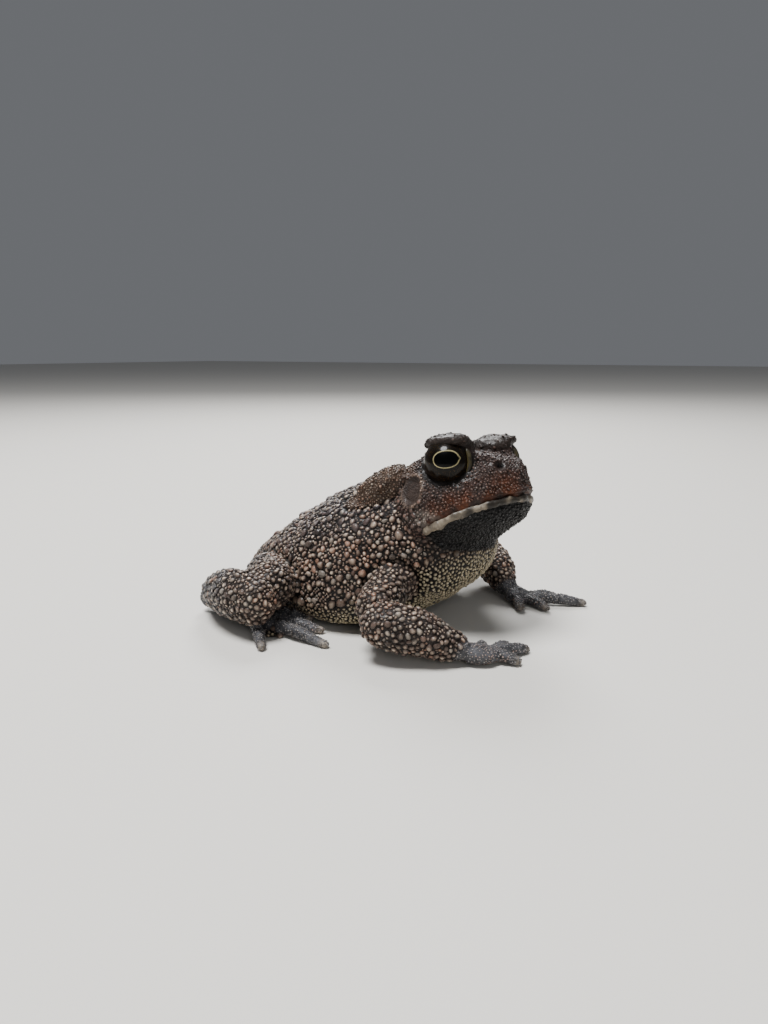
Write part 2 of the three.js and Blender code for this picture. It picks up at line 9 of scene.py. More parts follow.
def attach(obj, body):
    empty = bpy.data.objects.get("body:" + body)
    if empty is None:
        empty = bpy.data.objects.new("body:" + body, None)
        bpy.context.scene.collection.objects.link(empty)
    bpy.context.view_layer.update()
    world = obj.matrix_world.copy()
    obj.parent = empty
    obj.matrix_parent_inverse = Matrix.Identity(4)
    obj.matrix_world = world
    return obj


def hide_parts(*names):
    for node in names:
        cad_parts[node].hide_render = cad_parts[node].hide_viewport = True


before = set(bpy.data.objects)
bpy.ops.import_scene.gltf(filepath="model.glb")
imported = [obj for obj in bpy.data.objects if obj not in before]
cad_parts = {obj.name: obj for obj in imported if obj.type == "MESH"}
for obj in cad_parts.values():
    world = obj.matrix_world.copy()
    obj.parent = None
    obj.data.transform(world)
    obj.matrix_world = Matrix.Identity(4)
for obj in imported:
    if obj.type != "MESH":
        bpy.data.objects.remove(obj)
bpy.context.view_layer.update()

bl_info = {
    "name": "American Toad",
    "version": (1, 0, 0),
    "blender": (4, 5, 0),
    "location": "View3D > Sidebar > Toad",
    "description": "Skin, warts, eyes and mouth of a life-size American toad on its packed solids",
    "category": "Object",
}

MM = 0.001
SIDES = {"right": -1, "left": 1}
BODY_SHIFT = np.array([0.0, -2.9, 0.0])  # from the tables' origin to the middle of the whole toad, mm
PIECE_TRIANGLES = 180000  # the most triangles of one piece of warts

# Proportions, mm. Places are forward, left and up from a point on the ground under the body, or in the head's
# own frame from the middle between the eyes.
EYE_RADIUS = 4.8
EYE_SPAN = 19.4
PUPIL_HEIGHT = 0.45
PUPIL_SIZE = (2.45, 1.65)
PUPIL_SQUARENESS = 2.2
HEAD_YAW = math.radians(8)
HEAD_PITCH = math.radians(11)
HEAD_ROLL = math.radians(5)
HEAD_PLACE = (17.0, -1.9, 36.6)

# Rows of trunk and skull: forward, top, bottom, half width, height of the widest place
TRUNK = [
    [-42, 10.0, 4.0, 6.0, 7.0],
    [-38, 13.0, 1.6, 11.5, 7.0],
    [-32, 16.9, 0.4, 16.5, 7.6],
    [-24, 22.3, -0.4, 21.4, 7.6],
    [-14, 28.2, -0.6, 24.0, 7.6],
    [-4, 32.0, -0.4, 24.2, 8.0],
    [4, 34.4, 1.4, 20.8, 11.0],
    [10, 35.4, 4.6, 17.4, 16.0],
    [15, 34.0, 8.0, 14.8, 17.0],
    [20, 28.0, 11.6, 11.5, 17.5],
]
TRUNK_CAPS = (5, 6)
TRUNK_SQUARENESS = (2.1, 2.9)  # exponents of its sections above and below the widest place
SKULL = [
    [-14, 1.0, -21.0, 13.6, -10.0],
    [-9, 2.2, -20.6, 14.8, -11.0],
    [-4, 2.4, -19.2, 15.0, -11.6],
    [0, 2.0, -17.6, 14.2, -11.6],
    [4, 1.2, -15.6, 11.9, -10.4],
    [7.5, 0.1, -14.0, 9.2, -9.2],
    [9.6, -0.9, -13.0, 6.7, -8.2],
    [11.6, -2.4, -12.0, 4.7, -7.6],
]
SKULL_CAPS = (4, 3.2)
SKULL_SQUARENESS = (2.4, 2.0)

# Forms of the head's left side: a lump is a centre and half sizes (left, forward, up), a ridge has rows of
# forward, left, up, half width and half height.
HEAD_FORMS = {
    "orbit": [(0.0, 7.5, 0.1), (4.1, 5.3, 5.0)],
    "brow": [(0.0, 8.9, 4.2), (3.9, 5.4, 1.7)],
    "lid pad": [(-0.4, 6.6, 3.2), (3.6, 5.3, 2.0)],
    "ridge to the nostril": [
        (4.6, 6.2, 0.6, 0.8, 0.9),
        (7.6, 4.4, -0.9, 0.8, 0.8),
        (9.8, 3.4, -2.6, 0.6, 0.6),
    ],
    "crest beside the brow": [
        (3.5, 4.6, 2.3, 0.7, 0.7),
        (0, 3.9, 3.0, 0.9, 0.9),
        (-5.4, 4.6, 2.6, 0.9, 0.9),
    ],
    "crest behind the eye": [
        (-5.2, 4.4, 2.4, 0.9, 0.9),
        (-5.6, 8.0, 1.9, 1.1, 1.1),
        (-5.9, 11.0, -0.8, 1.1, 1.1),
        (-5.6, 12.6, -3.6, 0.8, 0.8),
    ],
    "nostril's bump": [(8.9, 3.4, -2.0), (1.3, 1.4, 1.1)],
    "cheek": [(-3.4, 12.4, -9.0), (2.6, 3.6, 3.0)],
    "fold at the mouth's corner": [
        (1.5, 12.4, -9.6, 1.0, 1.0),
        (-2.0, 13.6, -11.4, 1.3, 1.2),
        (-5.0, 13.4, -13.6, 1.3, 1.2),
    ],
}
SNOUT_BALL = [(7.6, 0.0, -4.6), (5.4, 4.0, 3.9)]
EAR_PLACE = (-6.5, 12.9, -5.2)
EAR_SIZE = (2.3, 2.8)
EAR_SIDE = 9  # only skin farther aside than this can be at an eardrum
FAR_OFF = 9.0  # stands for any distance far outside an oval
NOSTRIL = (9.2, 4.2, -1.7)
NOSTRIL_SIZE = (0.8, 0.8, 0.6)
# Forward, and the mouth's height there
LIP_LINE = ([-3.6, 3.5, 8, 11.6, 16], [-13.0, -10.0, -8.6, -7.9, -7.5])
LIP_BUNCH = 0.3  # how much higher a lip is near the mouth's corner
UPPER_LIP = {"above": 0.8, "wide": 0.75, "high": 0.8, "sunk": 0.75, "start": -3.2}
LOWER_LIP = {"above": -0.8, "wide": 0.55, "high": 0.75, "sunk": 0.38, "start": -4.4}
LID_REACH = (5.15, 4.95)  # from the eye's middle to the rim of the lids, forward and up
LID_THICKNESS = (0.4, 0.55)
LID_SUNK = 0.7
LID_TURN = (math.radians(150), math.radians(390))

# Rows of limbs and glands: forward, left, up, half width, half height. A digit is root, tip and radius.
PAROTOID = [
    [6.6, 9.8, 34.0, 2.3, 2.2],
    [3.4, 11.2, 32.8, 3.1, 3.1],
    [-0.8, 12.3, 30.4, 3.4, 3.3],
    [-5.0, 13.2, 27.2, 2.5, 2.3],
]
SHOULDER = [(-2, 12, 13, 5, 5), (-1, 17, 11.5, 4.8, 5)]  # its forward places count from the upper arm's rows
FINGER_ARCH = 0.6
TOE_ARCH = 0.9
WEB_SHARE = 0.48
WEB_THICKNESS = 0.9
WEB_HEIGHT = 0.75
WEB_RIM = 1 / 8  # share of a web's length in which its ends round off
DIGIT_STEPS = (24, 12)
TANGENT_STEP = 0.2  # mm to either side between which a limb's direction is taken
ARMS = {
    "right": {
        "upper_arm": [
            [5.5, -10, 13.5, 4.2, 4.4],
            [6.5, -18, 11.8, 4.2, 4.4],
            [7.5, -25, 9.8, 4.0, 4.3],
            [8.5, -30.5, 8, 3.4, 3.5],
        ],
        "forearm": [
            [7.6, -31.0, 7.6, 3.4, 3.4],
            [12, -30.2, 7.4, 4.3, 4.6],
            [18, -27.6, 6.2, 4.2, 4.5],
            [23, -25.0, 4.2, 3.0, 3.2],
            [27, -22.8, 2.6, 2.2, 1.9],
        ],
        "palm": [[25.5, -23.6, 2.4, 2.2, 2.0], [28.6, -21.0, 1.9, 3.2, 1.8], [31.0, -18.6, 1.4, 2.6, 1.4]],
        "digits": [
            [[27.5, -20.5], [25.8, -13.6], 1.15],
            [[29.5, -19.5], [30.2, -10.8], 1.15],
            [[30, -19], [34.6, -10.8], 1.2],
            [[29.8, -20], [36.2, -18.2], 1.15],
        ],
    },
    "left": {
        "upper_arm": [
            [6, 10, 13.5, 4.2, 4.4],
            [5.5, 18, 11.8, 4.2, 4.4],
            [5, 24.5, 9.8, 4.0, 4.3],
            [4.2, 29.2, 8, 3.4, 3.5],
        ],
        "forearm": [
            [3.8, 29.6, 7.4, 3.4, 3.4],
            [7.6, 27.4, 7.4, 4.3, 4.6],
            [12, 23.2, 6.2, 4.2, 4.4],
            [15.6, 19.6, 4.2, 3.0, 3.2],
            [18.6, 17.0, 2.6, 2.2, 1.9],
        ],
        "palm": [[17.2, 18.0, 2.4, 2.2, 2.0], [20.6, 17.2, 1.9, 3.2, 1.8], [23.6, 17.4, 1.4, 2.6, 1.4]],
        "digits": [
            [[20.5, 16.4], [24.0, 10.6], 1.15],
            [[22.5, 17], [29.6, 14.2], 1.15],
            [[23, 17.6], [35.6, 23.4], 1.25],
            [[22, 18], [27.4, 25.4], 1.15],
        ],
    },
}
RIGHT_LEG = {
    "thigh": [
        [-33, -7, 6.4, 4.4, 4.4],
        [-30, -14, 7.0, 5.0, 4.8],
        [-24.5, -21.5, 9.0, 5.2, 5.4],
        [-18.5, -27.5, 9.8, 4.8, 5.2],
        [-14.6, -30.5, 9.2, 3.8, 4.2],
    ],
    "shank": [
        [-13.6, -32.4, 8.0, 3.4, 3.8],
        [-18, -33.8, 8.2, 4.4, 5.2],
        [-25, -32.2, 8.0, 4.6, 5.4],
        [-31.5, -29.4, 6.6, 3.9, 4.4],
        [-37.4, -26.5, 5.0, 2.8, 3.2],
    ],
    "tarsus": [
        [-40.5, -26.5, 4.2, 2.6, 2.8],
        [-34, -26.0, 2.6, 2.6, 2.3],
        [-27, -27.4, 1.9, 2.8, 1.9],
        [-21, -29.2, 1.5, 3.4, 1.5],
    ],
    "digits": [
        [[-23, -26.5], [-18.0, -19.4], 1.05],
        [[-22, -27], [-12.6, -20.6], 1.1],
        [[-21, -28], [-6.6, -24.6], 1.2],
        [[-20.5, -29.5], [-1.0, -31.0], 1.25],
        [[-21, -31], [-11.2, -39.6], 1.15],
    ],
}

# Where the head's skin ends behind: up, and forward there. Where the belly ends: forward, and up there.
NECK_LINE = ([-23, -19, -14.5, -6, 30], [12, -1.5, -7.5, -11.2, -10.5])
BELLY_LINE = ([-40, -20, -4, 4, 12, 22], [3, 4, 5, 9, 15, 18.5])
LEVEL_REST = 0.5  # below this height, mm, the skin stays smooth and bare, as it lies on the ground

# Radii of the warts, mm: the least, what the dice adds at most, and the power that keeps large ones rare
WART_SIZES = {
    "plain": (0.2, 0.18, 1),
    "medium": (0.4, 0.3, 1.5),
    "large": (0.72, 0.34, 2),
    "belly": (0.26, 0.14, 1),
    "gland": (0.16, 0.2, 2),
    "face": (0.19, 0.16, 1.5),
    "hand": (0.14, 0.1, 1),
}
LARGE_SHARE = 0.016
MEDIUM_SHARE = 0.25
WIDEST_WART = 1.6  # more than the radius of any wart
# Pieces of warts: radii from and to, rings and sides of a wart, its height over its radius
WART_PIECES = {
    "warts_large": (0.7, 9.0, (5, 14), 0.74),
    "warts_medium": (0.39, 0.7, (4, 9), 0.74),
    "granules": (0.0, 0.39, (2, 7), 0.78),
}
WART_OVAL = (0.88, 1.25)
WART_RISE = (0.65, 1.25)
WART_LEAN = 0.16
WART_DENT = 0.07
WART_ROOT = (0.92, 0.5)  # a root's radius and depth over the wart's radius
WART_PATCH = 0.0015  # half the width of a wart on the unwrap
TILE_MARGIN = 0.02  # free share at each edge of a tile of the unwrap
# Toad skin by its finish: roughness, grain and depth of its pebbles in mm, share of the moist film
SKINS = {
    "Skin between the warts": (0.5, 0.42, 0.15, 0.1),  # dry dark leather, which stays dull
    "Warts": (0.42, 0.3, 0.1, 0.3),  # horny and worn smoother, each with a small highlight
    "Lid rims": (0.45, 0.3, 0.06, 0.3),  # thin moist skin, finely grained
    "Lower lip": (0.45, 0.4, 0.06, 0.2),  # thin moist skin, a little coarser
}
# Widths of patterns, mm
SPECK = 1.4
FINE_GRAIN = 0.18
FINE_DEPTH = 0.05
IRIS_FLECK = 0.25

# The camera, for a picture 1024 pixels high
PICTURE_HIGH = 1024
SENSOR = 36.0  # mm
CAMERA_FOCUS = 770.0  # focal length in pixels of that picture
CAMERA_AT = (-0.15095, -0.09035, 0.060)  # metres
CAMERA_WAY = (0.848, 0.530)
CAMERA_DIP = math.radians(11.9)
# Lights: place and size in metres, watts, and whether it shows in gloss
LIGHTS = {
    "Key": ((-0.2, 0.1, 0.8), 0.35, 13.5, True),
    "Front fill": ((-0.6, -0.6, 0.4), 0.4, 1.6, False),
    "Rim": ((0.45, 0.3, 0.5), 0.3, 5.0, True),
}
LIGHTS_AIM = (0, 0, 0.02)
STUDIO_STRENGTH = 0.2

# Colours that go with those in the settings, sRGB
SHADES = {
    "ink": "#100e0d",
    "brow": "#231d1a",
    "limb": "#2c2522",
    "far limb wart": "#4d5257",
    "hand band": "#1d1d1f",
    "hand wart": "#626165",
    "digit tip": "#9b9083",
    "ear rim": "#6b5b50",
    # painted shade inside the nostrils
    "nostril": "#030202",
    "mouth corner": "#857d74",
    # painted bluish sky reflection on warts that face up
    "sky-tinted wart": "#2f2e35",
    # throat warts and their tips are dark and also darkened as painted shade under the head
    "throat wart": "#090b0d",
    "dark wart": "#2a2421",
    "pink wart": "#8a6552",
    "grey wart": "#7f7a72",
    # pinkish tips of the face's granules, partly a painted glint
    "face tip and glint": "#8d6a5e",
    "belly tip": "#cfc5a8",
    "throat tip": "#15181b",
    "hand tip": "#a09b95",
    "eyeball": "#0d0b09",
    "iris": "#0b0806",
    "iris fleck": "#6b4f2a",
    "pupil": "#020202",
    "lid": "#17120f",
    "lid edge": "#7a6e44",
    "lid corner": "#3a3524",
    "lip shade": "#4e4740",
    "lip light": "#a3988a",
    "studio": "#dfe3ea",
}


def mirrored(rows):
    """Table rows with their second column, left, turned to the other side."""
    return [[row[0], -row[1], *row[2:]] for row in rows]


LEGS = {
    "right": RIGHT_LEG,
    "left": {
        name: [[mirrored([start])[0], mirrored([end])[0], radius] for start, end, radius in rows]
        if name == "digits"
        else mirrored(rows)
        for name, rows in RIGHT_LEG.items()
    },
}


def turn(axis, angle):
    """A 3 by 3 turn about axis 0, 1 or 2 by an angle."""
    c, s = math.cos(angle), math.sin(angle)
    a, b = [(1, 2), (2, 0), (0, 1)][axis]
    m = np.eye(3)
    m[a, a] = m[b, b] = c
    m[a, b], m[b, a] = -s, s
    return m


def place(forward, left, up):
    """Table places as points: x = left, y = -forward, z = up, mm."""
    return np.stack(np.broadcast_arrays(left, -np.asarray(forward, float), up), axis=-1).astype(float)


HEAD_TURN = turn(2, -HEAD_YAW) @ turn(0, -HEAD_PITCH) @ turn(1, HEAD_ROLL)
HEAD_AT = place(*HEAD_PLACE)


def from_head(points):
    """Points of the head's own frame in the toad's frame: p = place + turn q."""
    return points @ HEAD_TURN.T + HEAD_AT


def in_head(points):
    """Points of the toad's frame as columns forward, left, up of the head's own frame."""
    q = (points - HEAD_AT) @ HEAD_TURN
    return -q[..., 1], q[..., 0], q[..., 2]


def along(rows, s):
    """A table's columns at places s of its first column, by a cubic with smooth slopes."""
    rows = np.asarray(rows, float)
    s = np.clip(s, rows[0, 0], rows[-1, 0])
    i = np.clip(np.searchsorted(rows[:, 0], s, side="right") - 1, 0, len(rows) - 2)
    before, after = rows[np.maximum(i - 1, 0)], rows[np.minimum(i + 2, len(rows) - 1)]
    a, b = rows[i], rows[i + 1]
    span = b[..., :1] - a[..., :1]
    t = (s[..., None] - a[..., :1]) / span
    slope_a = (b - before) / (b[..., :1] - before[..., :1]) * span
    slope_b = (after - a) / (after[..., :1] - a[..., :1]) * span
    t2, t3 = t * t, t * t * t
    from_a = (2 * t3 - 3 * t2 + 1) * a + (t3 - 2 * t2 + t) * slope_a
    return from_a + (3 * t2 - 2 * t3) * b + (t3 - t2) * slope_b


def cap_share(distance, length):
    """How much of its full size a section has near a rounded end: sqrt(1 - (1 - d/length)^2), at most 1."""
    u = np.clip(1 - distance / length, 0, 1)
    return np.sqrt(1 - u * u)


def power(value, exponent):
    """The sign of a value times its size to the exponent, for the sections of a superellipse."""
    return np.sign(value) * np.abs(value) ** exponent


def smoothstep(low, high, value):
    """A soft step from 0 at low to 1 at high: 3 t^2 - 2 t^3, where t is the share of the way between them."""
    t = np.clip((value - low) / (high - low), 0, 1)
    return t * t * (3 - 2 * t)


def bell(value, middle, width):
    """A bell of height 1 round its middle: e to the power of minus ((value - middle) / width)^2."""
    return np.exp(-(((value - middle) / width) ** 2))


def waves(points, length, seed, octaves=24):
    """Soft lumps: the mean of sines in seeded directions, each about so many mm long, roughly -1 to 1."""
    random = np.random.default_rng(seed)
    directions = random.normal(size=(octaves, 3))
    directions *= 2 * np.pi / length / np.linalg.norm(directions, axis=1, keepdims=True)
    directions *= random.uniform(0.7, 1.4, (octaves, 1))
    total = np.sin(points @ directions.T + random.uniform(0, 2 * np.pi, octaves)).sum(axis=1)
    return total / math.sqrt(octaves)


def grid_parameters(steps_along, steps_around):
    """Parameters of a closed grid: positions close up towards both ends, angles go once round."""
    u = (1 - np.cos(np.pi * np.linspace(0, 1, steps_along + 1))) / 2
    return u[:, None], (2 * np.pi * np.arange(steps_around) / steps_around)[None, :]


def trunk_grid(rows, caps, squareness, steps):
    """Upright sections, each a superellipse |x/a|^n + |z/b|^n = 1, closed by rounded caps at both ends."""
    u, angle = grid_parameters(*steps)
    first, last = rows[0][0], rows[-1][0]
    s = first + (last - first) * u[:, 0]
    _, top, bottom, half_width, wide = (c[:, None] for c in along(rows, s).T)
    cap = np.minimum(cap_share(s - first, caps[0]), cap_share(last - s, caps[1]))[:, None]
    c, d = np.cos(angle), np.sin(angle)
    square = np.where(d > 0, *squareness)
    height = np.where(d > 0, top - wide, wide - bottom)
    aside, up = half_width * cap * power(c, 2 / square), height * cap * power(d, 2 / square)
    return place(s[:, None], aside, wide + up)


def limb_grid(rows, steps=(28, 20)):
    """Oval sections along a bent line: p(s, t) = line(s) + side a cos t + up b sin t, with rounded ends."""
    rows = np.asarray(rows, float)
    ends = rows[0, 3], rows[-1, 3]
    reach = np.concatenate([[0], np.cumsum(np.linalg.norm(np.diff(rows[:, :3], axis=0), axis=1))])
    rows = np.column_stack([reach, rows])
    u, angle = grid_parameters(*steps)
    length = reach[-1]
    s = length * u[:, 0]
    _, forward, left, height, a, b = along(rows, s).T
    ahead = along(rows, np.minimum(s + TANGENT_STEP, length))
    behind = along(rows, np.maximum(s - TANGENT_STEP, 0))
    tangent = place(*ahead[:, 1:4].T) - place(*behind[:, 1:4].T)
    tangent /= np.linalg.norm(tangent, axis=1, keepdims=True)
    side = np.cross(tangent, [0, 0, 1.0])
    side /= np.linalg.norm(side, axis=1, keepdims=True)
    up = np.cross(side, tangent)
    cap = np.minimum(cap_share(s, ends[0]), cap_share(length - s, ends[1]))
    across = (a * cap)[:, None, None] * np.cos(angle)[..., None] * side[:, None]
    upward = (b * cap)[:, None, None] * np.sin(angle)[..., None] * up[:, None]
    return place(forward, left, height)[:, None] + across + upward


def ellipsoid_grid(centre, sizes, steps=(18, 24)):
    """An ellipsoid: centre (forward, left, up) plus half sizes (left, forward, up) times a sphere's point."""
    _, angle = grid_parameters(*steps)
    polar = np.pi * np.linspace(0, 1, steps[0] + 1)[:, None]
    x = sizes[0] * np.sin(polar) * np.cos(angle)
    y = sizes[1] * np.sin(polar) * np.sin(angle)
    z = sizes[2] * np.cos(polar) * np.ones_like(angle)
    return place(*centre) + np.stack([x, y, z], axis=-1)


def ring_grid(centre, reach, radii, turns, steps):
    """A rim round an eye, in the head's frame: it follows an oval forward and up between two turns."""
    u, angle = grid_parameters(*steps)
    turned = turns[0] + (turns[1] - turns[0]) * u
    length = np.mean(reach) * (turns[1] - turns[0])
    cap = np.minimum(cap_share(length * u, 4 * radii[0]), cap_share(length * (1 - u), 4 * radii[0]))
    across, sideways = radii[0] * cap * np.cos(angle), radii[1] * cap * np.sin(angle)
    forward = centre[0] + (reach[0] + across) * np.cos(turned)
    up = centre[2] + (reach[1] + across) * np.sin(turned)
    return place(forward, centre[1] + sideways, up)


def digit_rows(start, end, radius, arch):
    """One finger or toe: thick at the root, a knuckle half way, a blunt tip on the ground."""
    start, end = np.array(start, float), np.array(end, float)
    shares = [0, 0.35, 0.62, 0.85, 1]
    ups = [1.6, 1.1 + arch, 1.0 + arch * 0.8, 0.95, 0.75]
    wides = [1.25, 1.0, 1.1, 0.85, 0.8]
    highs = [1.15, 1.0, 1.05, 0.85, 0.75]
    return [
        [*(start + (end - start) * t), up, radius * wide, radius * high]
        for t, up, wide, high in zip(shares, ups, wides, highs)
    ]


def web_grid(first, second):
    """The web between two toes: a thin lens between the lines from their roots to a share of their length."""
    (a0, a1), (b0, b1) = [(np.array(t[0], float), np.array(t[1], float)) for t in (first[:2], second[:2])]
    u, angle = grid_parameters(12, 20)
    t = u[:, :1] * WEB_SHARE
    left = a0 + (a1 - a0) * t
    right = b0 + (b1 - b0) * t
    middle, half = (left + right) / 2, (left - right) / 2
    rim = cap_share(u, WEB_RIM) * cap_share(1 - u, WEB_RIM)
    flat = middle[:, None] + half[:, None] * (np.cos(angle) * rim)[..., None]
    return place(flat[..., 0], flat[..., 1], WEB_HEIGHT + WEB_THICKNESS / 2 * np.sin(angle) * rim)


def lip_height(forward):
    """Height of the mouth's line in the head's frame at a place forward."""
    return np.interp(forward, *LIP_LINE)


def side_width(forward, up):
    """Half width of the skull at a place forward and up in the head's frame."""
    _, top, bottom, half_width, wide = along(SKULL, np.asarray(forward, float)).T
    cap = cap_share(SKULL[-1][0] - forward, SKULL_CAPS[1])
    over = up > wide
    height = np.where(over, top - wide, wide - bottom) * cap
    drop = np.clip(np.abs(up - wide) / np.maximum(height, 1e-3), 0, 1)
    square = np.where(over, *SKULL_SQUARENESS)
    return half_width * cap * (1 - drop**square) ** (1 / square)


def lip_rows(lip):
    """Table rows of a lip that follows the mouth from one corner round the snout to the other."""
    snout, start = SKULL[-1][0], lip["start"]
    forward = np.array([start, -1, 1, 3, 5, 7, snout - 3, snout - 1.6, snout - 0.7, snout - 0.15])
    up = lip_height(forward) + lip["above"]
    aside = np.maximum(side_width(forward, up) - lip["sunk"], 0.0)
    high = lip["high"] * (1 + LIP_BUNCH * bell(forward, start + 1, 2.5))
    rows = [[a, b, c, lip["wide"], d] for a, b, c, d in zip(forward, aside, up, high)]
    return mirrored(rows) + rows[::-1]


def head_form(rows, sign):
    """One of the HEAD_FORMS on one side: a lump where its rows have three numbers, otherwise a ridge."""
    if len(rows[0]) == 3:
        (forward, left, up), sizes = rows
        return ellipsoid_grid((forward, sign * left, up), sizes)
    return limb_grid([[forward, sign * left, *rest] for forward, left, *rest in rows])


def flesh_grids():
    """Every form of the head, body, limbs, hands and feet, in the toad's frame, mm."""
    head = [trunk_grid(SKULL, SKULL_CAPS, SKULL_SQUARENESS, (50, 60))]
    head += [head_form(rows, sign) for sign in SIDES.values() for rows in HEAD_FORMS.values()]
    head += [ellipsoid_grid(*SNOUT_BALL), limb_grid(lip_rows(UPPER_LIP), (70, 12))]
    grids = [trunk_grid(TRUNK, TRUNK_CAPS, TRUNK_SQUARENESS, (60, 64))]
    grids += [from_head(grid) for grid in head]
    for name, sign in SIDES.items():
        arm, leg = ARMS[name], LEGS[name]
        grids.append(limb_grid([[forward, sign * left, *rest] for forward, left, *rest in PAROTOID]))
        grids += [limb_grid(arm[part]) for part in ("upper_arm", "forearm", "palm")]
        grids += [limb_grid(leg[part]) for part in ("thigh", "shank", "tarsus")]
        grids += [limb_grid(digit_rows(*digit, FINGER_ARCH), DIGIT_STEPS) for digit in arm["digits"]]
        grids += [limb_grid(digit_rows(*digit, TOE_ARCH), DIGIT_STEPS) for digit in leg["digits"]]
        grids += [web_grid(a, b) for a, b in zip(leg["digits"], leg["digits"][1:])]
        shoulder = zip(arm["upper_arm"], SHOULDER)
        rows = [[row[0] + back, sign * left, *rest] for row, (back, left, *rest) in shoulder]
        grids.append(limb_grid(rows))
    return grids


def closed_faces(rings, around):
    """Faces of a grid whose first and last rows are single points: two fans, and quads between."""
    j = np.arange(around)
    k = (j + 1) % around
    first = 1 + around * np.arange(rings - 1)[:, None]
    quads = np.stack([first + j, first + around + j, first + around + k, first + k], axis=-1).reshape(-1, 4)
    last, tip = 1 + around * (rings - 1), 1 + around * rings
    fans = np.concatenate([
        np.column_stack([np.zeros(around, int), 1 + j, 1 + k]),
        np.column_stack([np.full(around, tip), last + k, last + j]),
    ])
    return fans, quads


def closed_parts(grids):
    """Many closed grids as one list of points and one of faces, turned over where they face inwards."""
    points, faces, start = [], [], 0
    for grid in grids:
        rows, around = grid.shape[:2]
        part = np.concatenate([grid[:1, 0], grid[1:-1].reshape(-1, 3), grid[-1:, 0]])
        fans, quads = closed_faces(rows - 2, around)
        volume = np.sum(np.cross(part[quads[:, 1]], part[quads[:, 2]]) * part[quads[:, 0]])
        way = 1 if volume > 0 else -1
        faces += (fans[:, ::way] + start).tolist() + (quads[:, ::way] + start).tolist()
        points.append(part)
        start += len(part)
    return np.concatenate(points), faces


def link(name, data):
    """A new object with its data in the scene."""
    made = bpy.data.objects.new(name, data)
    bpy.context.scene.collection.objects.link(made)
    return made


def new_mesh(name, points, faces):
    """A smooth mesh object from points in mm of the tables' frame, at the origin, unturned and unscaled."""
    mesh = bpy.data.meshes.new(name)
    mesh.from_pydata(((points + BODY_SHIFT) * MM).tolist(), [], faces)
    mesh.update()
    mesh.polygons.foreach_set("use_smooth", np.ones(len(mesh.polygons), bool))
    return link(name, mesh)


def read(things, field, kind=float):
    """A field of all the points, corners or faces of a mesh as one array."""
    width = 1 if kind is np.int32 else 3
    values = np.empty(len(things) * width, kind)
    things.foreach_get(field, values)
    return values if width == 1 else values.reshape(-1, width)


def surface_arrays(mesh):
    """Points in mm of the tables' frame and normals of a mesh."""
    return read(mesh.vertices, "co") / MM - BODY_SHIFT, read(mesh.vertex_normals, "vector")


def give_colours(mesh, name, colours):
    """A colour for each vertex, read by the materials under its name."""
    layer = mesh.color_attributes.new(name, "FLOAT_COLOR", "POINT")
    values = np.ones((len(colours), 4))
    values[:, :3] = np.clip(colours, 0, 1)
    layer.data.foreach_set("color", values.ravel())


def unwrap(normals, points):
    """Each point's place on an unwrap of the skin: six tiles, one for each way it faces, shrunk to fit."""
    axis = np.abs(normals).argmax(axis=1)
    low, high = points.min(axis=0), points.max(axis=0)
    unit = (points - low) / (high - low).max()
    rows = np.arange(len(points))
    u, v = unit[rows, (axis + 1) % 3], unit[rows, (axis + 2) % 3]
    tile = axis + 3 * (normals[rows, axis] > 0)
    u, v = (TILE_MARGIN + (1 - 2 * TILE_MARGIN) * way for way in (u, v))
    return np.column_stack([(tile % 3 + u) / 3, (tile // 3 + v) / 2])


def chain(rows, count=14):
    """Centres and radii along a limb's table, for distances from it."""
    rows = np.asarray(rows, float)
    at = np.linspace(0, len(rows) - 1, count)
    columns = [np.interp(at, np.arange(len(rows)), rows[:, k]) for k in range(5)]
    return place(*columns[:3]), np.maximum(columns[3], columns[4])


def beyond(points, chains):
    """Distance of each point outside the nearest ball of the chains, mm; below 0 inside one."""
    best = np.full(len(points), 1e3)
    for centres, radii in chains:
        for centre, radius in zip(centres, radii):
            best = np.minimum(best, np.linalg.norm(points - centre, axis=1) - radius)
    return best


def limb_chains(*parts):
    """The chains of the named parts of both sides."""
    made = []
    for name in SIDES:
        for part in parts:
            if part == "fingers":
                made += [chain(digit_rows(*digit, FINGER_ARCH), 9) for digit in ARMS[name]["digits"]]
            elif part == "toes":
                made += [chain(digit_rows(*digit, TOE_ARCH), 9) for digit in LEGS[name]["digits"]]
            else:
                made.append(chain({**ARMS[name], **LEGS[name]}[part]))
    return made


def ear_offset(points):
    """Distance from the nearer eardrum's middle across its oval, 1 on its rim."""
    forward, left, up = in_head(points)
    around = np.hypot((forward - EAR_PLACE[0]) / EAR_SIZE[0], (up - EAR_PLACE[2]) / EAR_SIZE[1])
    return np.where(np.abs(left) > EAR_SIDE, around, FAR_OFF)


def nostril_offset(points):
    """Distance from the nearer nostril's middle over its size."""
    forward, left, up = in_head(points)
    away = np.stack([forward - NOSTRIL[0], np.abs(left) - NOSTRIL[1], up - NOSTRIL[2]], axis=-1)
    return np.linalg.norm(away / NOSTRIL_SIZE, axis=-1)


def eye_offset(points):
    """Distance outside the nearer eyeball, mm."""
    balls = [from_head(place(0, sign * EYE_SPAN / 2, 0)) for sign in SIDES.values()]
    return np.min([np.linalg.norm(points - ball, axis=1) for ball in balls], axis=0) - EYE_RADIUS


